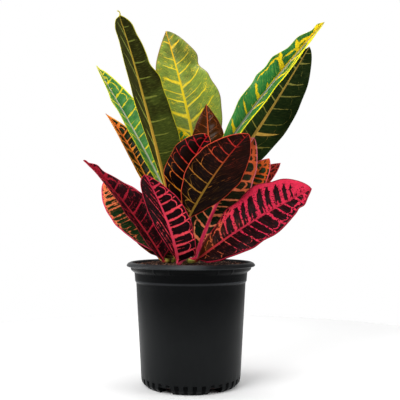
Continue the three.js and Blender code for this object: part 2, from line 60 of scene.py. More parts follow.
def tint(code: str) -> Colour:
    """A colour written as six hex digits, as linear light.

    Args:
        code: Red, green and blue as hex digits.

    Returns:
        The colour's three linear shares.
    """
    shares = [int(code[i:i + 2], 16) / 255 for i in (0, 2, 4)]
    return tuple(s / 12.92 if s <= 0.04045 else ((s + 0.055) / 1.055) ** 2.4 for s in shares)


def ease(x: np.ndarray, low: float, high: float) -> np.ndarray:
    """A smooth step from 0 at low to 1 at high.

    Args:
        x: Where to read the step.
        low: Where it leaves 0.
        high: Where it reaches 1.

    Returns:
        The step's height at each x.
    """
    t = np.clip((np.asarray(x, float) - low) / (high - low), 0, 1)
    return t * t * (3 - 2 * t)


def unit(rows: np.ndarray) -> np.ndarray:
    """Each row at length 1."""
    return rows / np.linalg.norm(rows, axis=-1, keepdims=True)


def bump_field(
    draw: np.random.Generator, x: np.ndarray, y: np.ndarray, wavelength: float, waves: int = 14,
) -> np.ndarray:
    """Smooth seeded bumps over a plane, from crossed waves of nearly one length.

    Args:
        draw: Seeded draws.
        x: First coordinate of each place.
        y: Second coordinate of each place.
        wavelength: Usual length of a bump.
        waves: Number of crossed waves.

    Returns:
        Heights of about -1 to 1.
    """
    total = np.zeros(np.broadcast(x, y).shape)
    for _ in range(waves):
        turn, phase = draw.uniform(0, 2 * math.pi, 2)
        pitch = 2 * math.pi / (wavelength * draw.uniform(0.7, 1.5))
        total += np.sin(pitch * (x * math.cos(turn) + y * math.sin(turn)) + phase)
    return total / math.sqrt(waves)


def on_circle(radius: float | np.ndarray, turns: np.ndarray, height: float | np.ndarray) -> np.ndarray:
    """Points at a radius and a height, one for each turn."""
    x, y = radius * np.cos(turns), radius * np.sin(turns)
    return np.stack([x, y, height * np.ones_like(x)], -1)


def band_faces(rows: int, sides: int) -> list[tuple[int, ...]]:
    """Four-cornered faces between neighbouring rings of points.

    Args:
        rows: Number of rings, one after the other in the list of points.
        sides: Points on each ring.

    Returns:
        Corner numbers of each face.
    """
    return [
        (r * sides + k, r * sides + (k + 1) % sides, (r + 1) * sides + (k + 1) % sides, (r + 1) * sides + k)
        for r in range(rows - 1) for k in range(sides)
    ]


def cap_faces(rows: int, sides: int) -> list[tuple[int, ...]]:
    """The two faces that close the first and the last ring of such a list."""
    last = (rows - 1) * sides
    return [tuple(range(sides))[::-1], tuple(range(last, last + sides))]


@dataclass
class Bezier:
    """A cubic curve that is read by its own length."""

    corners: np.ndarray
    steps: int = 400

    def __post_init__(self) -> None:
        """Measures the curve."""
        self.knots = np.linspace(0, 1, self.steps + 1)
        run = np.linalg.norm(np.diff(self._place(self.knots), axis=0), axis=1)
        self.run = np.concatenate([[0], np.cumsum(run)])

    @property
    def length(self) -> float:
        """The curve's length."""
        return float(self.run[-1])

    def _place(self, t: np.ndarray) -> np.ndarray:
        """Points at the curve's own parameter.

        Args:
            t: Parameters from 0 to 1.

        Returns:
            The points, one a row.
        """
        a, b, c, d = self.corners
        t = t[:, None]
        return a * (1 - t) ** 3 + 3 * b * t * (1 - t) ** 2 + 3 * c * t ** 2 * (1 - t) + d * t ** 3

    def at(self, shares: np.ndarray) -> tuple[np.ndarray, np.ndarray]:
        """Points and directions at shares of the length.

        Args:
            shares: Places from 0 at the start to 1 at the end.

        Returns:
            The points and the directions of length 1.
        """
        t = np.interp(np.asarray(shares) * self.length, self.run, self.knots)
        a, b, c, d = self.corners
        s = t[:, None]
        slope = (b - a) * (1 - s) ** 2 + 2 * (c - b) * s * (1 - s) + (d - c) * s ** 2
        return self._place(t), unit(slope)


class Wire:
    """A value in a node tree, on which sums are written as in plain code."""

    def __init__(self, board: "Board", socket: bpy.types.NodeSocket) -> None:
        """Keeps the board and the socket that gives the value."""
        self.board = board
        self.socket = socket

    def __add__(self, other: "Wire | float") -> "Wire":
        """Sum."""
        return self.board.math("ADD", self, other)

    def __sub__(self, other: "Wire | float") -> "Wire":
        """Difference."""
        return self.board.math("SUBTRACT", self, other)

    def __rsub__(self, other: "Wire | float") -> "Wire":
        """Difference from a number."""
        return self.board.math("SUBTRACT", other, self)

    def __mul__(self, other: "Wire | float") -> "Wire":
        """Product."""
        return self.board.math("MULTIPLY", self, other)

    def __rmul__(self, other: "Wire | float") -> "Wire":
        """Product with a number."""
        return self.board.math("MULTIPLY", other, self)

    def __truediv__(self, other: "Wire | float") -> "Wire":
        """Quotient."""
        return self.board.math("DIVIDE", self, other)

    def __pow__(self, other: "Wire | float") -> "Wire":
        """Power."""
        return self.board.math("POWER", self, other)

    def __gt__(self, other: "Wire | float") -> "Wire":
        """1 where greater."""
        return self.board.math("GREATER_THAN", self, other)

    def __abs__(self) -> "Wire":
        """Size without sign."""
        return self.board.math("ABSOLUTE", self)

    def floor(self) -> "Wire":
        """Whole part."""
        return self.board.math("FLOOR", self)

    def fract(self) -> "Wire":
        """Part past the whole."""
        return self.board.math("FRACT", self)

    def least(self, other: "Wire | float") -> "Wire":
        """Lesser of two."""
        return self.board.math("MINIMUM", self, other)

    def most(self, other: "Wire | float") -> "Wire":
        """Greater of two."""
        return self.board.math("MAXIMUM", self, other)

    def merge(self, other: "Wire", radius: float) -> "Wire":
        """Lesser of two, joined by a fillet."""
        return self.board.math("SMOOTH_MIN", self, other, radius)

    def step(self, low: float, high: float) -> "Wire":
        """Smooth step from 0 at low to 1 at high, either way round."""
        return self.board.step(self, low, high)


Number = Wire | float
Value = np.ndarray | Wire


class Board:
    """One node material, with a short call for each kind of node."""

    def __init__(self, name: str) -> None:
        """Starts a material that has only its shader and output.

        Args:
            name: The material's name.
        """
        self.material = bpy.data.materials.new(name)
        self.material.use_nodes = True
        self.nodes = self.material.node_tree.nodes
        self.links = self.material.node_tree.links
        self.shader = self.nodes["Principled BSDF"]

    def feed(self, socket: bpy.types.NodeSocket, value: Number | Colour) -> None:
        """Links a wire to a socket, or sets a plain value on it.

        Args:
            socket: The socket.
            value: The wire, number or colour.
        """
        if isinstance(value, Wire):
            self.links.new(value.socket, socket)
        elif isinstance(value, tuple) and len(socket.default_value) == 4:
            socket.default_value = (*value, 1)
        else:
            socket.default_value = value

    def node(self, kind: str, inputs: dict[int | str, Number | Colour], **options: str) -> bpy.types.Node:
        """Adds a node.

        Args:
            kind: The node's type.
            inputs: A value or wire for each socket, by its number or name.
            options: The node's own settings.

        Returns:
            The node.
        """
        node = self.nodes.new(f"ShaderNode{kind}")
        for key, option in options.items():
            setattr(node, key, option)
        for key, value in inputs.items():
            self.feed(node.inputs[key], value)
        return node

    def math(self, kind: str, *values: Number) -> Wire:
        """A Math node."""
        return Wire(self, self.node("Math", dict(enumerate(values)), operation=kind).outputs[0])

    def step(self, value: Wire, low: float, high: float) -> Wire:
        """A smooth step, either way round.

        Args:
            value: Where to read it.
            low: Where it is 0.
            high: Where it is 1.

        Returns:
            The step's height.
        """
        ends = (high, low, 1.0, 0.0) if low > high else (low, high, 0.0, 1.0)
        inputs = dict(enumerate((value, *ends)))
        return Wire(self, self.node("MapRange", inputs, interpolation_type="SMOOTHSTEP").outputs[0])

    def attribute(self, name: str) -> Wire:
        """A number kept on the mesh's points."""
        return Wire(self, self.node("Attribute", {}, attribute_name=name).outputs["Fac"])

    def place(self) -> Wire:
        """The point's own place in the object, in metres."""
        return Wire(self, self.node("TexCoord", {}).outputs["Object"])

    def join(self, x: Number, y: Number, z: Number) -> Wire:
        """Three numbers as a vector."""
        return Wire(self, self.node("CombineXYZ", {0: x, 1: y, 2: z}).outputs[0])

    def split(self, vector: Wire) -> tuple[Wire, Wire, Wire]:
        """A vector's three numbers."""
        return tuple(Wire(self, socket) for socket in self.node("SeparateXYZ", {0: vector}).outputs)

    def noise(self, vector: Wire, scale: float, detail: float = 2.0, rough: float = 0.5) -> Wire:
        """Cloudy noise of about 0 to 1."""
        inputs = {"Vector": vector, "Scale": scale, "Detail": detail, "Roughness": rough}
        return Wire(self, self.node("TexNoise", inputs).outputs["Fac"])

    def cells(self, vector: Wire, scale: float, feature: str = "DISTANCE_TO_EDGE") -> Wire:
        """Distance inside the cells of a Voronoi pattern."""
        inputs = {"Vector": vector, "Scale": scale}
        return Wire(self, self.node("TexVoronoi", inputs, feature=feature).outputs["Distance"])

    def chance(self, number: Wire) -> tuple[Wire, Wire, Wire]:
        """Three seeded draws for each whole number.

        Args:
            number: The whole number.

        Returns:
            Three numbers of 0 to 1.
        """
        draw = self.node("TexWhiteNoise", {"W": number}, noise_dimensions="1D")
        split = self.node("SeparateColor", {0: Wire(self, draw.outputs["Color"])})
        return tuple(Wire(self, socket) for socket in split.outputs)

    def blend(self, share: Number, low: Wire | Colour, high: Wire | Colour) -> Wire:
        """A colour between two."""
        return Wire(self, self.node("Mix", {0: share, 6: low, 7: high}, data_type="RGBA").outputs[2])

    def shade(self, colour: Wire, strength: Wire) -> Wire:
        """A colour made lighter or darker."""
        scaled = self.node("VectorMath", {0: colour, "Scale": strength}, operation="SCALE")
        return Wire(self, scaled.outputs[0])

    def relief(self, height: Wire, depth: float, strength: float) -> None:
        """Presses a height, depth millimetres deep, into the surface's shading."""
        bump = self.node("Bump", {"Height": height, "Distance": depth * MM, "Strength": strength})
        self.links.new(bump.outputs["Normal"], self.shader.inputs["Normal"])

    def finish(self, **sockets: Number | Colour) -> bpy.types.Material:
        """Sets the shader's sockets, named with _ for a space, and gives the material.

        Args:
            sockets: Value or wire for each socket.

        Returns:
            The finished material.
        """
        for name, value in sockets.items():
            self.feed(self.shader.inputs[name.replace("_", " ")], value)
        return self.material


def add_object(name: str, data: bpy.types.ID) -> bpy.types.Object:
    """Puts an object in the scene.

    Args:
        name: Its name.
        data: Its mesh, light or camera.

    Returns:
        The new object.
    """
    thing = bpy.data.objects.new(name, data)
    bpy.context.scene.collection.objects.link(thing)
    return thing


def mesh_of(name: str, shape: bmesh.types.BMesh) -> bpy.types.Mesh:
    """Turns a shape into a mesh and frees the shape.

    Args:
        name: The mesh's name.
        shape: The shape.

    Returns:
        The mesh.
    """
    mesh = bpy.data.meshes.new(name)
    shape.to_mesh(mesh)
    shape.free()
    return mesh


def make_piece(
    name: str,
    points: np.ndarray,
    faces: list[tuple[int, ...]],
    material: bpy.types.Material,
    nodes: tuple[str, ...],
    attributes: dict[str, np.ndarray] | None = None,
    corners: np.ndarray | None = None,
    crease: float = 180.0,
) -> bpy.types.Object:
    """Makes one shown mesh and places it in the frame.

    Args:
        name: The piece's name.
        points: Points in millimetres.
        faces: Corner numbers of each face, seen from outside.
        material: The finish.
        nodes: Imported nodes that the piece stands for.
        attributes: Numbers kept on the points.
        corners: A place on the bake sheet for each face corner.
        crease: Edges that bend more than these degrees stay sharp.

    Returns:
        The new object.
    """
    mesh = bpy.data.meshes.new(name)
    mesh.from_pydata((points * MM).tolist(), [], faces)
    mesh.materials.append(material)
    mesh.polygons.foreach_set("use_smooth", [True] * len(mesh.polygons))
    if crease < 180:
        mesh.set_sharp_from_angle(angle=math.radians(crease))
    for key, values in (attributes or {}).items():
        numbers = np.asarray(values, np.float32).ravel()
        mesh.attributes.new(key, "FLOAT", "POINT").data.foreach_set("value", numbers)
    if corners is not None:
        mesh.uv_layers.new(name=UV_NAME).data.foreach_set("uv", np.asarray(corners, np.float32).ravel())
    mesh.update()
    piece = add_object(name, mesh)
    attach(piece, BODY)
    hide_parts(*nodes)
    LOG.info("%s: %d faces", name, len(mesh.polygons))
    return piece


class Slot(Enum):
    """The record's slots, one given with each leaf."""

    GREEN = "leaf_green"
    OLIVE = "leaf_olive"
    CRIMSON = "leaf_crimson"
    MAROON = "leaf_maroon"
    ORANGE = "leaf_orange"


@dataclass(frozen=True)
class Paint:
    """The colours on one face of a leaf: two of the ground, and of the laterals and midrib at base and tip.

    turn is the place along the blade where the base's colours give way to the tip's.
    """

    ground: Colour
    ground_too: Colour
    vein_base: Colour
    vein_tip: Colour
    rib_base: Colour
    rib_tip: Colour
    edge: Colour
    turn: float = 0.5


NO_LATERAL = -9.0


@dataclass(frozen=True)
class Veins:
    """The pattern of one leaf's veins, in millimetres unless said. A pair is for the left and right halves.

    Attributes:
        pairs: Laterals in each half.
        slant: How far a lateral runs towards the tip for each millimetre outwards.
        sweep: Its further bend near the margin.
        rib: Half width of the midrib at its base.
        lateral: Half width of a lateral.
        edge: Width of the coloured margin.
        edge_more: What the right half's margin has more.
        loop: How far the arches that join the laterals keep from the margin.
        arch: Their depth.
        loop_thin: Their width as a share of the laterals'.
        web: The fillet where veins meet.
        short: How far out the short veins between the laterals reach, as a share.
        wide: How much broader all veins are.
        edge_wide: The same near the margin.
        edge_band: How far in from the margin that reaches.
        tip_wide: The same at the tip.
        base_wide: The same at the base.
        spots: Size of the breaks in the pattern.
        spot_size: Their length.
        specks: How many dark specks lie in the veins' colour.
        net: Strength of the fine net.
        uneven: How much the laterals' widths and places differ.
        wander: How far they stray.
        run: How far out they reach, as a share.
        bold: Number of the left half's lateral that is three times as broad and has the midrib's colour.
    """

    pairs: tuple[float, float] = (12, 12)
    slant: tuple[float, float] = (0.4, 0.4)
    sweep: float = 0.15
    rib: float = 1.6
    lateral: float = 0.6
    edge: float = 0.8
    edge_more: float = 0.0
    loop: float = 5.0
    arch: float = 4.0
    loop_thin: float = 0.6
    web: float = 1.0
    short: float = 0.35
    wide: tuple[float, float] = (0.0, 0.0)
    edge_wide: tuple[float, float] = (0.0, 0.0)
    edge_band: float = 9.0
    tip_wide: float = 0.0
    base_wide: tuple[float, float] = (0.0, 0.0)
    spots: float = 0.8
    spot_size: float = 7.0
    specks: float = 0.0
    net: float = 0.0
    uneven: float = 0.7
    wander: float = 2.5
    run: float = 1.5
    bold: float = NO_LATERAL

    stagger = 0.42

    def order(self, along: Value, out: Value, reach: Value, right: Value, length: float, seed: float,
              sine: Callable[[Value], Value]) -> Value:
        """Counts the laterals along the leaf, so that one lies at each half; for numbers and wires alike.

        Args:
            along: Millimetres along the midrib.
            out: Millimetres from the midrib.
            reach: Share of the way from midrib to margin.
            right: 1 on the right half.
            length: The midrib's length.
            seed: The leaf's own number.
            sine: The sine for this kind of value.

        Returns:
            The count at each place.
        """
        slant = right * (self.slant[1] - self.slant[0]) + self.slant[0]
        rate = right * ((self.pairs[1] - self.pairs[0]) / length) + self.pairs[0] / length
        count = (along - slant * out - reach * out * self.sweep) * rate + right * self.stagger
        shift = sine(count * 2.3 + (seed * 1.3)) * 0.16 + sine(count * 1.1 + (seed * 2.1)) * 0.13
        return count + shift * self.uneven

    def pitch(self, right: Value, length: float) -> Value:
        """Millimetres between neighbouring laterals."""
        pitches = [length / pairs / math.hypot(1, slant) for pairs, slant in zip(self.pairs, self.slant)]
        return right * (pitches[1] - pitches[0]) + pitches[0]


class LeafPlace:
    """What a leaf's finish reads at each point: its place on the blade, and the noise that plays there.

    margin is millimetres from the margin and out from the midrib. share is the place along the blade, and
    reach the place from midrib to margin. face is 1 above and 0 below, and right is 1 on the right half. flat
    is the place on the blade laid flat. wander, ragged and fine are noises of about -0.5 to 0.5, from long to
    short. order counts the laterals, and pitch is their distance.
    """

    wander_scale = 0.06
    fine_scale = 0.9
    seed_step = 37.0

    def __init__(self, board: Board, veins: Veins, seed: float, length: float) -> None:
        """Reads the numbers kept on the mesh.

        Args:
            board: The leaf's material.
            veins: The leaf's veins.
            seed: Keeps this leaf's draws apart from the others'.
            length: The midrib's length.
        """
        along, across = board.attribute("along"), board.attribute("across")
        self.margin, self.share = board.attribute("margin"), board.attribute("share")
        self.face = board.attribute("face") > 0.5
        self.right = across > 0.0
        self.out = abs(across)
        self.flat = board.join(along, across, seed * self.seed_step + 0.5)
        self.wander = board.noise(self.flat, self.wander_scale, 1.5) - 0.5
        self.ragged = board.noise(self.flat, 1 / veins.spot_size, 2.0) - 0.5
        self.fine = board.noise(self.flat, self.fine_scale, 2.0) - 0.5
        self.pitch = veins.pitch(self.right, length)
        self.reach = self.out / (self.out + self.margin + 0.01)
        order = veins.order(
            along, self.out, self.reach, self.right, length, seed, lambda wire: board.math("SINE", wire))
        self.order = order + self.wander * veins.wander / self.pitch

    def by_half(self, pair: tuple[float, float]) -> Wire:
        """The left half's number of a pair on the left, and the right half's on the right."""
        return self.right * (pair[1] - pair[0]) + pair[0]


@dataclass(frozen=True)
class LeafFinish:
    """Everything that colours one leaf.

    Attributes:
        upper: Colours of the upper face.
        under: Colours of the under face.
        veins: The pattern of the veins.
        rough: Roughness of the upper face.
        rough_under: Roughness of the under face.
        streak: Strength of the streaks that run along the laterals.
        under_thin: How much thinner the veins are on the under face.
        mottle: How much of the veins' colour is strewn over the ground.
        lean: How much more of the second ground the right half has.
        gloss: The specular level.
        stalk: The stalk's colour.
    """

    upper: Paint
    under: Paint
    veins: Veins
    rough: float = 0.34
    rough_under: float = 0.55
    streak: float = 0.2
    under_thin: float = 0.25
    mottle: float = 0.12
    lean: float = 0.0
    gloss: float = 0.08
    stalk: Colour = (0.27, 0.28, 0.045)

    lateral_draws = 57
    arch_draws = 91
    bold_more = 2.2
    net_scale = 0.28
    speck_scale = 0.5
    patch_scale = 0.035
    cloud_scale = 0.3
    pore_scale = 1.6
    rough_scale = 0.12
    border = 0.3
    turn_spread = 0.28
    relief_depth = 0.3
    relief_strength = 0.55

    def material(self, name: str, seed: float, length: float) -> bpy.types.Material:
        """Builds the leaf's node material from the numbers kept on its mesh.

        Args:
            name: The material's name.
            seed: Keeps this leaf's draws apart from the others'.
            length: The midrib's length in millimetres.

        Returns:
            The material.
        """
        board = Board(name)
        at = LeafPlace(board, self.veins, seed, length)
        rib = at.out - ((1 - at.share) ** 0.8 * self.veins.rib + 0.3)
        bold = (1 - at.right) * (0.5 - abs(at.order - (self.veins.bold + 0.5))).step(0.0, 0.05)
        veins = self._broaden(board, at, self._veins(board, at, seed, rib, bold))
        colour = self._colour(board, at, seed, rib, bold, veins)
        height = (veins * 0.5).most(-1.0).least(1.0) * (at.face * 2 - 1)
        height = height + board.noise(at.flat, self.pore_scale, 2.0) * 0.25
        board.relief(height, self.relief_depth, self.relief_strength)
        rough = (board.noise(at.flat, self.rough_scale, 3.0) - 0.5) * 0.22
        rough = rough + at.face * (self.rough - self.rough_under) + self.rough_under
        return board.finish(Base_Color=colour, Roughness=rough, Specular_IOR_Level=self.gloss)

    def _veins(self, board: Board, at: LeafPlace, seed: float, rib: Wire, bold: Wire) -> Wire:
        """Millimetres from the nearest vein, below 0 inside it.

        Args:
            board: The leaf's material.
            at: The place on the leaf.
            seed: The leaf's own number.
            rib: The distance from the midrib.
            bold: 1 along the bold lateral.

        Returns:
            The distance from laterals, arches, short veins and midrib, joined by fillets.
        """
        v = self.veins
        even = 1 - v.uneven * 0.5
        cell = at.order.fract()
        first, second, third = board.chance(at.order.floor() + at.right * self.lateral_draws + seed)
        half = (first * v.uneven + even + bold * self.bold_more) * v.lateral
        lateral = abs(cell - 0.5) * at.pitch - half * (1.35 - at.reach)
        lateral = lateral + (at.reach - v.run * (second * 0.5 + 0.75)).most(0.0) * 8

        shifted = at.order + 0.5
        bay = shifted.fract() - 0.5
        drop, girth, _ = board.chance(shifted.floor() + at.right * self.arch_draws + seed + 0.25)
        bow = bay * bay * (4 * v.arch) + v.loop * (drop * 1.1 + 0.45) + at.ragged * 3
        arch = abs(at.margin - bow) - (girth * v.uneven + even) * (v.lateral * v.loop_thin)

        short_reach = third * 0.7 + (v.short - 0.7)
        short = cell.least(1 - cell) * at.pitch - v.lateral * 0.3 + (at.reach - short_reach).most(0.0) * 30
        return lateral.merge(arch, v.web).merge(short, v.web * 0.6).merge(rib + 0.3, v.web)

    def _broaden(self, board: Board, at: LeafPlace, veins: Wire) -> Wire:
        """The distance from the veins once they are broadened, frayed, netted and speckled.

        Args:
            board: The leaf's material.
            at: The place on the leaf.
            veins: The plain distance.

        Returns:
            The distance that the colours follow.
        """
        v = self.veins
        wider = at.by_half(v.wide) + at.share * at.share * v.tip_wide
        wider = wider + (1 - at.share) ** 3 * at.by_half(v.base_wide)
        near_edge = at.margin.step(v.edge_band, 0.0) * at.share.step(0.0, 0.7)
        wider = wider + near_edge * at.by_half(v.edge_wide)
        veins = veins - wider - at.ragged * (v.spots * 2) - at.fine * 0.6 + (1 - at.face) * self.under_thin
        if v.net:
            net = board.cells(at.flat, self.net_scale) * 3.5 - 0.34
            veins = veins.merge(net + (1 - v.net) * 0.6 - at.ragged * 1.5, 0.5)
        if v.specks:
            speck = board.noise(at.flat, self.speck_scale, 2.5, 0.6) - 0.55
            veins = veins + speck.most(0.0) * (v.specks * 24)
        return veins

    def _colour(self, board: Board, at: LeafPlace, seed: float, rib: Wire, bold: Wire, veins: Wire) -> Wire:
        """The leaf's colour: ground, veins, margin, midrib and stalk, one over the other.

        Args:
            board: The leaf's material.
            at: The place on the leaf.
            seed: The leaf's own number.
            rib: The distance from the midrib.
            bold: 1 along the bold lateral.
            veins: The distance from the veins.

        Returns:
            The colour.
        """
        middle, spread = self.upper.turn, self.turn_spread
        turn = (at.share + at.wander * 0.5).step(middle - spread, middle + spread)
        patch = board.noise(at.flat, self.patch_scale, 2.0) + turn * 0.4 - 0.2 + at.right * self.lean

        def both(key: str) -> Wire:
            """One of the paint's colours, by the face."""
            return board.blend(at.face, getattr(self.under, key), getattr(self.upper, key))

        vein_colour = board.blend(turn, both("vein_base"), both("vein_tip"))
        vein_colour = board.blend(bold, vein_colour, both("rib_base"))
        ground = board.blend(patch.step(0.34, 0.66), both("ground"), both("ground_too"))
        grain = board.noise(board.join(at.order * at.pitch * 0.9, at.out * 0.14, seed), 1.0, 3.0)
        ground = board.shade(ground, grain * (0.7 + self.streak) + (0.65 - self.streak * 0.5))
        ground = board.blend(grain.step(0.5, 0.8) * self.mottle, ground, vein_colour)
        core = veins.step(0.2, -0.9)
        vein_colour = board.shade(
            vein_colour, board.noise(at.flat, self.cloud_scale, 2.0) * 0.7 + 0.5 + core * 0.25)

        edge = at.right * (self.veins.edge_more * 1.4) + self.veins.edge * 1.4
        colour = board.blend(veins.step(0.24, -0.24), ground, vein_colour)
        edge_mask = (at.margin - edge - at.ragged * 0.6).step(self.border, -self.border)
        colour = board.blend(edge_mask, colour, both("edge"))
        rib_colour = board.blend(turn, both("rib_base"), both("rib_tip"))
        rib_mask = (rib - at.fine * 0.2).step(self.border, -self.border)
        colour = board.blend(rib_mask, colour, rib_colour)
        return board.blend(board.attribute("stalk"), colour, self.stalk)


def paint(*codes: str, turn: float = 0.5) -> Paint:
    """A paint from seven hex colours, in the order of its fields."""
    return Paint(*(tint(code) for code in codes), turn)


OLIVE_UNDER = paint("3f491a", "2a2b0e", "7d8232", "6d7430", "b48e34", "a48a30", "c8c02c")
GREEN_UNDER = paint("5a7534", "48642c", "a8a040", "a09a3c", "b09a3e", "a09a3c", "9aa040")
RED_UNDER = paint("4a2118", "351511", "8a3a28", "7a2a26", "a05034", "8a342c", "8a3430")
CRIMSON_UNDER = paint("5a1c22", "401217", "963344", "8c2638", "a8404a", "93303e", "a03244")
DARK_UNDER = paint("1f2f12", "17240c", "8c8438", "747034", "c69c46", "907632", "2c3a16")

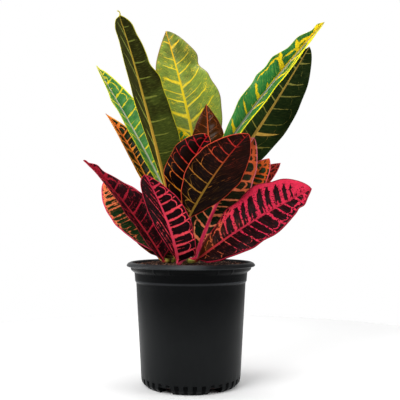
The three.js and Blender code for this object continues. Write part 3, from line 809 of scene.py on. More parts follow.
FINISHES = {
    "tall_olive": LeafFinish(
        paint("36601f", "2c5220", "d0b82c", "c8a828", "d8b42c", "c09a2c", "a8a030"), OLIVE_UNDER,
        Veins(pairs=(11, 9), slant=(-0.12, 2.4), rib=3.0, lateral=0.75, loop=3, loop_thin=-2, short=0.2,
              spots=0.5, edge=0.6, uneven=0.9, run=0.65, wander=2.5),
        lean=0.3, gloss=0.02, rough_under=0.8, streak=1.0, under_thin=0.05, mottle=0.3),
    "broad_light": LeafFinish(
        paint("80963a", "606c28", "eed62c", "dcb030", "f4d820", "f0a824", "8c7030", turn=0.8), GREEN_UNDER,
        Veins(pairs=(13, 13), slant=(0.12, 0.5), rib=2.6, lateral=1.05, loop=5, loop_thin=-2, short=0.3,
              spots=0.5, spot_size=9, edge=0.7, base_wide=(1.4, 1.4), uneven=1.1, run=0.7, wander=4,
              sweep=0.35, net=0.3),
        streak=1.0, gloss=0.15, mottle=0.2),
    "young_red": LeafFinish(
        paint("3a2409", "44220b", "b8722c", "90401c", "e8782c", "cc5824", "7a2418"), RED_UNDER,
        Veins(pairs=(7, 7), slant=(0.5, 0.5), rib=1.4, lateral=0.4, loop=4, short=0.2, spots=0.9, edge=0.5),
        streak=0.4, mottle=0.16, gloss=0.08, rough=0.25),
    "mottled_tip": LeafFinish(
        paint("1c7038", "2a8a3c", "eed010", "f0c810", "eed010", "f0b010", "e8c818"), GREEN_UNDER,
        Veins(rib=1.2, lateral=0.7, loop=3, spots=2.4, spot_size=4, edge=1.4, net=0.5, wide=(0.4, 0.4))),
    "bright_green": LeafFinish(
        paint("3c8e44", "2e7438", "f6d41c", "fadc20", "9ea896", "a8b0a0", "ece41c", turn=0.6), GREEN_UNDER,
        Veins(pairs=(7, 7), slant=(0.7, 0.7), rib=2.4, lateral=1.15, loop=5, arch=3, loop_thin=-0.6,
              short=0.3, spots=1.8, tip_wide=3.0, edge=0.25, uneven=1.0, run=0.72, wander=1.5, spot_size=6,
              specks=0.3, base_wide=(0.5, 0.5), edge_more=2.4),
        lean=0.35, streak=0.7, gloss=0.15, mottle=0.26),
    "dark_olive": LeafFinish(
        paint("2c6a28", "245a26", "d0b82c", "c8a828", "d8b42c", "c09a2c", "a8a030"), DARK_UNDER,
        Veins(pairs=(11, 11), slant=(0.5, 0.48), rib=2.5, lateral=0.85, loop=9, arch=4, loop_thin=0.12,
              short=0.1, spots=0.6, edge=0.3, uneven=1.1, run=0.74, wander=1.5, bold=4),
        under_thin=0.05, streak=0.6, mottle=0.12, rough_under=0.75, gloss=0.03),
    "maroon_left": LeafFinish(
        paint("0c0403", "150704", "e08c22", "c01c26", "dc8a22", "b81a26", "c4502a", turn=0.5), RED_UNDER,
        Veins(pairs=(9, 10), slant=(0.35, 0.3), rib=1.3, lateral=0.5, loop=5.5, arch=5, loop_thin=0.35,
              short=0.15, spots=0.9, edge=0.5, tip_wide=0.25, uneven=0.8, wide=(-0.05, -0.05)),
        rough=0.45, gloss=0.03, mottle=0.02),
    "maroon_front": LeafFinish(
        paint("120604", "1e0b06", "b07c2a", "c03028", "947028", "a8201f", "c8442c", turn=0.55), RED_UNDER,
        Veins(pairs=(9, 16), slant=(0.05, 1.7), rib=1.2, lateral=0.5, loop=6, arch=5, loop_thin=0.3,
              short=0.2, spots=0.9, edge=0.6, wide=(0.1, -0.78), edge_wide=(0, 0.35)),
        rough=0.45, gloss=0.05, mottle=0.15),
    "pink_rib": LeafFinish(
        paint("0c2411", "1e2012", "ff9060", "b04c28", "ff3c68", "e08a98", "cc6068", turn=0.55), RED_UNDER,
        Veins(pairs=(12, 13), slant=(0.4, 0.3), rib=2.3, lateral=0.7, loop=5, short=0.35, spots=1.9,
              spot_size=4, edge=0.9, tip_wide=0.9, edge_wide=(0.6, 1.0), wide=(0.55, 0.55), specks=0.3,
              wander=3),
        stalk=tint("ff3458")),
    "orange_spotted": LeafFinish(
        paint("0c2410", "183416", "e8642c", "d05a22", "f07040", "d86030", "e8505c"), RED_UNDER,
        Veins(pairs=(14, 14), slant=(0.3, 0.3), rib=1.0, lateral=0.7, loop=4, spots=1.8, spot_size=4,
              edge=0.9, wide=(0.2, 0.2), tip_wide=0.8, specks=0.3)),
    "small_red": LeafFinish(
        paint("2a0c08", "3a120c", "b0402c", "b03424", "e03c44", "e0404a", "c83444"), RED_UNDER,
        Veins(pairs=(11, 11), rib=0.8, loop=3, spots=1.2, tip_wide=0.4, wide=(0.2, 0.2))),
    "crimson_right": LeafFinish(
        paint("4a2410", "180709", "c8702c", "cc2846", "bc382e", "b4283e", "981c30", turn=0.2), CRIMSON_UNDER,
        Veins(pairs=(15, 13), slant=(0.15, 0.3), rib=1.4, lateral=0.75, loop=5.5, arch=5, loop_thin=0.6,
              short=0.35, spots=1.6, spot_size=5, edge=1.3, wide=(0.9, -0.38), tip_wide=1.6,
              base_wide=(-2.1, -0.3), edge_wide=(4.6, 0.4), edge_band=20, specks=1.7),
        stalk=tint("ccd060"), lean=0.5, gloss=0.03, rough=0.4, streak=0.3, mottle=0.14),
    "crimson_far_left": LeafFinish(
        paint("1a0709", "28090f", "a81e30", "9a1a2c", "bc2636", "94182a", "b82840", turn=0.6), CRIMSON_UNDER,
        Veins(pairs=(10, 9), slant=(0.6, 0.3), rib=1.1, lateral=0.7, loop=4.5, short=0.4, spots=1.4,
              spot_size=5, edge=0.7, tip_wide=1.6, wide=(-0.3, 0.0), net=0.3, specks=0.5),
        stalk=tint("c8c058"), mottle=0.1),
    "orange_left": LeafFinish(
        paint("17381a", "123016", "e0643e", "f07c4c", "dc5448", "e86c44", "d8405c", turn=0.35), RED_UNDER,
        Veins(pairs=(16, 16), slant=(0.1, 0.1), rib=1.1, lateral=0.55, loop=3, short=0.5, spots=2.2,
              spot_size=4, edge=1.1, tip_wide=1.5, base_wide=(-1.6, -1.6), wide=(0.2, 0.2), specks=0.8,
              uneven=1.1)),
    "crimson_front": LeafFinish(
        paint("130508", "1d080b", "e44450", "cc3048", "f04864", "c83050", "c42840", turn=0.75), CRIMSON_UNDER,
        Veins(pairs=(10, 11), slant=(2.2, 0.05), sweep=0.1, rib=2.1, lateral=0.95, loop=4.5, arch=4,
              loop_thin=0.4, short=0.45, spots=1.1, spot_size=6, edge=0.6, wide=(-0.55, 0.25),
              tip_wide=0.1, specks=0.25),
        rough=0.5, gloss=0.05, mottle=0.04, stalk=tint("b83a52")),
    "narrow_orange": LeafFinish(
        paint("0f200e", "14280f", "f8b430", "ec8430", "f09830", "ec7840", "f8a42c"), RED_UNDER,
        Veins(pairs=(11, 13), slant=(0.4, 0.3), rib=1.1, lateral=0.7, loop=3.5, spots=1.2, spot_size=5,
              edge=1.1, wide=(1.0, 0.0), tip_wide=0.9, specks=0.3)),
    "narrow_green": LeafFinish(
        paint("529640", "428440", "f4e020", "ecd824", "c0c8ac", "ccd0b8", "ece824"), GREEN_UNDER,
        Veins(pairs=(12, 13), slant=(0.5, 0.3), rib=1.9, lateral=0.7, loop=4, loop_thin=0.3, short=0.3,
              spots=1.0, spot_size=5, edge=1.1, tip_wide=0.5, run=0.9),
        streak=0.5, gloss=0.15),
    "brown_behind": LeafFinish(
        paint("2c2410", "3c2c14", "6a5424", "7a3c22", "8a6a2c", "8a4a2c", "7a3028"), RED_UNDER,
        Veins(pairs=(8, 8), rib=0.8, lateral=0.4, loop=3, edge=0.5)),
    "low_middle": LeafFinish(
        paint("241c0c", "1a1a0c", "6a5424", "6a4422", "8a7a30", "7a5a2c", "6a3024"), RED_UNDER,
        Veins(pairs=(7, 7), rib=0.8, lateral=0.4, loop=3, edge=0.5)),
}
GREEN_BACK = LeafFinish(
    FINISHES["broad_light"].upper, GREEN_UNDER, replace(FINISHES["broad_light"].veins, run=0.9))
LEAFY_BACK = LeafFinish(
    FINISHES["bright_green"].upper, OLIVE_UNDER, Veins(pairs=(11, 11), slant=(0.6, 0.6), rib=1.8, net=0.2))
ORANGE_BACK = FINISHES["orange_spotted"]
CRIMSON_BACK = replace(FINISHES["crimson_front"], veins=Veins(slant=(0.5, 0.5), rib=1.5, lateral=0.8))
MAROON_BACK = replace(FINISHES["maroon_left"], under=CRIMSON_UNDER)
FINISHES |= {
    "high_right": LEAFY_BACK, "high_left": GREEN_BACK, "back_tall": GREEN_BACK, "back_right": LEAFY_BACK,
    "back_left": replace(LEAFY_BACK, under=GREEN_UNDER), "back_middle": ORANGE_BACK,
    "low_right": CRIMSON_BACK, "low_left": MAROON_BACK, "low_back": CRIMSON_BACK,
    "low_back_left": MAROON_BACK, "low_back_right": CRIMSON_BACK,
}


@dataclass(frozen=True)
class Stem:
    """One woody stem: where it leaves the soil, where it ends, and its radius at the two ends."""

    name: str
    foot: tuple[float, float]
    top: Point
    radii: tuple[float, float]

    def at(self, height: np.ndarray) -> tuple[np.ndarray, np.ndarray]:
        """The stem's centre and radius.

        Args:
            height: Heights above the pot's base.

        Returns:
            Centres, one a row, and radii.
        """
        height = np.atleast_1d(np.asarray(height, float))
        share = np.maximum(0, (height - Soil.crown) / (self.top[2] - Soil.crown))
        bend = share[:, None] ** 1.4
        flat = np.array(self.foot) + (np.array(self.top[:2]) - np.array(self.foot)) * bend
        return np.column_stack([flat, height]), self.radii[0] + (self.radii[1] - self.radii[0]) * share


class Half(NamedTuple):
    """Half a blade, seen on the upper face with the tip up.

    Attributes:
        width: Its greatest width.
        widest: The place along the blade where it is widest.
        base_draw: How drawn out it is towards the base.
        tip_draw: How drawn out it is towards the tip.
        fold: Degrees that it folds up.
    """

    width: float
    widest: float
    base_draw: float
    tip_draw: float
    fold: float


class Nip(NamedTuple):
    """A listed change of a half's outline: side (-1 left, 1 right), place, spread and millimetres."""

    side: int
    place: float
    spread: float
    change: float


@dataclass(frozen=True)
class Spine:
    """The line that a leaf is built on, a row for each ring of points: the stalk's first, then the blade's.

    Attributes:
        places: Points on the line.
        ups: Where the upper face looks.
        acrosses: Where the right half lies.
        shares: Places along the blade, 0 all along the stalk.
        thread: Places along the thread that the tip is drawn out to, 0 before it.
        stalk_shares: Places along the stalk, for its own rows alone.
        stalk_length: The stalk's length.
        length: The midrib's length.
    """

    places: np.ndarray
    ups: np.ndarray
    acrosses: np.ndarray
    shares: np.ndarray
    thread: np.ndarray
    stalk_shares: np.ndarray
    stalk_length: float
    length: float


class Ring:
    """One ring of a leaf's points: over the upper face from the left margin to the right one, and back below.

    u is -1 at the left margin and 1 at the right one, and side and size are its sign and its size. face is 1
    above, 0 below and 0.5 on the margins. turn is the angle on the stalk.
    """

    crowded = 0.25

    def __init__(self, columns: int) -> None:
        """Spreads the points, closer together towards the margins.

        Args:
            columns: Number of strips on each face.
        """
        near = np.linspace(0, 1, columns // 2 + 1)
        near = near * (1 - self.crowded) + np.sin(near * math.pi / 2) * self.crowded
        u = np.concatenate([-near[::-1], near[1:]])
        n = len(u)
        self.u = np.concatenate([u, u[-2:0:-1]])
        self.face = np.concatenate([[0.5], np.ones(n - 2), [0.5], np.zeros(n - 2)])
        self.turn = math.pi * np.concatenate([np.linspace(1, 0, n), -np.linspace(0, 1, n)[1:-1]])
        self.side = np.where(self.u < 0, -1, 1)
        self.size = np.abs(self.u)

    def by_half(self, left: np.ndarray, right: np.ndarray) -> np.ndarray:
        """A number for each row and place, from one for each row of the two halves."""
        return np.where(self.side < 0, left[:, None], right[:, None])

    def sheet(self, rows: int) -> np.ndarray:
        """Lays the faces out on the bake sheet.

        Args:
            rows: Number of rings.

        Returns:
            A place for each face corner: the upper face at the left, the under face at the right.
        """
        last = len(self.u) // 2
        high = np.linspace(0.01, 0.99, rows)
        place = [*(0.01 + 0.48 * (self.u[:last + 1] + 1) / 2), *(0.51 + 0.48 * (self.u[last:] + 1) / 2), 0.51]
        corners = []
        for r in range(rows - 1):
            for k in range(len(self.u)):
                start = k if k < last else k + 1
                left, right = place[start], place[start + 1]
                corners += [(left, high[r]), (right, high[r]), (right, high[r + 1]), (left, high[r + 1])]
        corners += [(0.5, 0.005)] * len(self.u) + [(0.5, 0.995)] * len(self.u)
        return np.array(corners)


@dataclass(frozen=True)
class Leaf:
    """One leaf's stalk and blade, as the part's source has it, and the finer play of its margins.

    Attributes:
        name: The leaf's name.
        slot: The record's slot; not used.
        stem: The stem that it grows from.
        height: How high on the stem.
        heading: Where the stalk leaves the stem, in degrees from +X.
        base: Where the blade starts.
        bends: The midrib's two inner corners.
        tip: Where the blade ends.
        face: Where the upper face looks at base and tip.
        curl: How far the margins lift.
        wave: How far they wave.
        waves: How many waves they have.
        left: The left half.
        right: The right half.
        nips: Listed changes of the outline.
        drip: Three points of a thread that the tip is drawn out to.
        rows: Rings of points on the blade.
        columns: Strips across each face.
    """

    name: str
    slot: Slot
    stem: str
    height: float
    heading: float
    base: Point
    bends: tuple[Point, Point]
    tip: Point
    face: tuple[Point, Point]
    curl: float
    wave: float
    waves: float
    left: Half
    right: Half
    nips: tuple[Nip, ...] = ()
    drip: tuple[Point, ...] = ()
    rows: int = 110
    columns: int = 46

    blade = 0.8
    stalk_radius = 1.9
    stalk_bend = 0.38
    stalk_rows = 14
    swelling = 0.55
    swelling_reach = 3.5
    sunk = 2.0
    grip = 0.35
    rib_height = 1.7
    rib_spread = 1.7
    channel_depth = 0.55
    channel_spread = 1.6
    quilt_height = 1.5
    quilt_width = 12
    arch = 0.045
    play_height = 1.1
    play_length = 34.0
    half_apart = 300.0
    seat = 0.35
    tip_half_width = 0.5
    drip_half_width = 1.0
    drip_rows = 8
    side_phase = 2.1
    base_spread = 0.06

    def stalk(self, stems: dict[str, Stem]) -> Bezier:
        """The stalk's line from inside the stem to the blade.

        Args:
            stems: The stems by name.

        Returns:
            The line.
        """
        centre, radius = stems[self.stem].at(self.height)
        turn = math.radians(self.heading)
        out = np.array([math.cos(turn), math.sin(turn), 0])
        root = centre[0] + out * (radius[0] + self.grip)
        base = np.array(self.base)
        reach = np.linalg.norm(root - base) * self.stalk_bend
        along = unit(np.array(self.bends[0]) - base)
        return Bezier(np.array([root, root + out * reach, base - along * reach, base]))

    def spine(self, stems: dict[str, Stem]) -> Spine:
        """The line from inside the stem to the end of the tip.

        Args:
            stems: The stems by name.

        Returns:
            The line, with its directions.
        """
        midrib = Bezier(np.array([self.base, *self.bends, self.tip], float))
        stalk = self.stalk(stems)
        stalk_shares = np.linspace(0, 1, self.stalk_rows, endpoint=False)
        even = np.linspace(0, 1, self.rows + 1)
        blade_shares = even * 0.45 + (0.5 - 0.5 * np.cos(math.pi * even)) * 0.55
        shares = [np.zeros(self.stalk_rows), blade_shares]
        thread = [np.zeros(self.stalk_rows + self.rows + 1)]
        runs = [stalk.at(stalk_shares), midrib.at(blade_shares)]
        if self.drip:
            drip_shares = np.linspace(0, 1, self.drip_rows + 1)[1:]
            shares.append(np.ones(self.drip_rows))
            thread.append(drip_shares)
            runs.append(Bezier(np.array([self.tip, *self.drip], float)).at(drip_shares))
        places, alongs = (np.vstack(rows) for rows in zip(*runs))
        places[0] -= alongs[0] * self.sunk
        shares = np.concatenate(shares)
        base_face, tip_face = np.array(self.face)
        faces = base_face * (1 - shares[:, None]) + tip_face * shares[:, None]
        ups = unit(faces - alongs * np.sum(faces * alongs, 1, keepdims=True))
        return Spine(places, ups, np.cross(alongs, ups), shares, np.concatenate(thread), stalk_shares,
                     stalk.length, midrib.length)

    def half_outline(self, half: Half, side: int, spine: Spine, index: int) -> tuple[np.ndarray, ...]:
        """Half a blade's outline.

        Args:
            half: The half.
            side: -1 for the left half, 1 for the right one.
            spine: The leaf's line.
            index: The leaf's number, for its draws.

        Returns:
            For each row the width, its share of the greatest width, and how squarely the margin faces out.
        """
        v = spine.shares
        bulge = math.log(0.5) / math.log(half.widest)
        inside = (v > 0) & (v < 1)
        rise = np.clip(np.sin(math.pi * np.where(inside, v, 0.5) ** bulge), 0, 1)
        profile = np.where(inside, rise ** np.where(v < half.widest, half.base_draw, half.tip_draw), 0)
        wobble = np.sin(v * 23 + index * 1.7 + side) * 0.012 + np.sin(v * 41 + index * 2.9 + side * 2) * 0.008
        width = half.width * profile * (1 + wobble)
        for nip in self.nips:
            if nip.side == side:
                width += nip.change * np.exp(-(((v - nip.place) / nip.spread) ** 2))
        width = np.maximum(self.tip_half_width, width)
        swelling = self.drip_half_width - self.tip_half_width
        least = self.tip_half_width + ease(spine.thread, 0, 0.2) * swelling
        width = np.maximum(width * (1 - ease(spine.thread, 0, 0.5)), least)
        blade = slice(self.stalk_rows, None)
        along = v[blade] * spine.length + np.arange(len(v) - self.stalk_rows) * 1e-6
        slope = np.gradient(width[blade], along)
        lean = np.concatenate([np.zeros(self.stalk_rows), 1 / np.sqrt(1 + slope ** 2)])
        return width, profile, lean

    def waves_and_quilt(self, spine: Spine, ring: Ring, width: np.ndarray, profile: np.ndarray,
                        index: int) -> np.ndarray:
        """How far the middle of the blade's thickness lies above the plane of its line.

        Args:
            spine: The leaf's line.
            ring: The places round it.
            width: The half's width at each row and place.
            profile: The share of the greatest width.
            index: The leaf's number.

        Returns:
            Heights for each row and place.
        """
        size, shares = ring.size, spine.shares[:, None]
        length, out = shares * spine.length, size * width
        right = (ring.side > 0).astype(float)[None, :]
        order = FINISHES[self.name].veins.order(
            length, out, size[None, :], right, spine.length, index + 1.0, np.sin)
        fold = np.radians(np.where(ring.side < 0, self.left.fold, self.right.fold))
        soft = np.sqrt(size ** 2 + 0.05 ** 2) - 0.05
        phase = index + np.where(ring.side < 0, 0, self.side_phase)
        ripple = np.sin(2 * math.pi * self.waves * shares + phase) * self.wave * 1.3
        draw = np.random.default_rng(100 + index)
        apart = ring.side[None, :] * self.half_apart
        play = bump_field(draw, length, apart, self.play_length) * self.play_height
        lift = (self.curl + ripple) * size ** 2 * profile + play * size ** 3 * profile
        arched = np.sin(math.pi * size) * width * self.arch
        pillow = (0.5 - np.abs(order % 1 - 0.5)) * np.sin(math.pi * size) ** 0.7
        quilt = pillow * self.quilt_height * np.minimum(1, width / self.quilt_width)
        return soft * width * np.sin(fold) + lift + arched + quilt - self.seat

    def surface(self, spine: Spine, ring: Ring, index: int) -> tuple[np.ndarray, dict[str, np.ndarray]]:
        """The leaf's points and the numbers that its finish reads.

        Args:
            spine: The leaf's line.
            ring: The places round it.
            index: The leaf's number, which sets the phase of its waves.

        Returns:
            The points, and the numbers by name: along, across, margin, share, face and stalk.
        """
        left = self.half_outline(self.left, -1, spine, index)
        right = self.half_outline(self.right, 1, spine, index)
        width, profile, lean = (ring.by_half(*pair) for pair in zip(left, right))
        size, shares = ring.size, spine.shares[:, None]
        out = size * width
        middle = self.waves_and_quilt(spine, ring, width, profile, index)
        channel = -self.channel_depth * np.exp(-((out / self.channel_spread) ** 2)) * ease(shares, 0.02, 0.2)
        keel = self.rib_height * (1 - shares) ** 0.6 * np.exp(-((out / self.rib_spread) ** 2))
        thick = self.blade / 2 * np.sqrt(np.clip(1 - size ** 10, 0, 1)) + 0.02
        up = middle + np.where(ring.face > 0.25, thick + channel, -thick - keel + channel * 0.3)
        up = np.where(size >= 1, middle, up)
        fold = np.radians(np.where(ring.side < 0, self.left.fold, self.right.fold))
        flat = ring.u * width * np.cos(fold)

        from_stem = spine.stalk_shares * spine.stalk_length
        swell = 1 + self.swelling * np.exp(-((from_stem / self.swelling_reach) ** 2))
        blade_rows = len(spine.shares) - self.stalk_rows
        radius = np.concatenate([self.stalk_radius * swell, np.full(blade_rows, self.stalk_radius)])[:, None]
        spread = ease(shares, 0, self.base_spread)
        flat = radius * np.cos(ring.turn) * (1 - spread) + flat * spread
        up = radius * np.sin(ring.turn) * (1 - spread) + up * spread
        points = spine.places[:, None] + spine.acrosses[:, None] * flat[..., None]
        points = points + spine.ups[:, None] * up[..., None]

        bare = np.concatenate([ease(spine.stalk_shares, 1.0, 0.5), np.zeros(blade_rows)])
        whole = np.ones_like(width)
        return points.reshape(-1, 3), {
            "along": shares * spine.length * whole,
            "across": ring.u * width,
            "margin": width * (1 - size) * lean,
            "share": shares * whole,
            "face": ring.face * whole,
            "stalk": bare[:, None] * whole,
        }

    def build(self, stems: dict[str, Stem], index: int) -> bpy.types.Object:
        """Makes the leaf's mesh and dresses it.

        Args:
            stems: The stems by name.
            index: The leaf's number.

        Returns:
            The leaf.
        """
        spine, ring = self.spine(stems), Ring(self.columns)
        points, numbers = self.surface(spine, ring, index)
        rows, sides = len(spine.shares), len(ring.u)
        faces = band_faces(rows, sides) + cap_faces(rows, sides)
        finish = FINISHES[self.name].material(f"{self.name}_skin", index + 1.0, spine.length)
        node = f"leaf_{self.name}"
        return make_piece(
            f"{node}_blade", points, faces, finish, (node,), numbers, ring.sheet(rows))


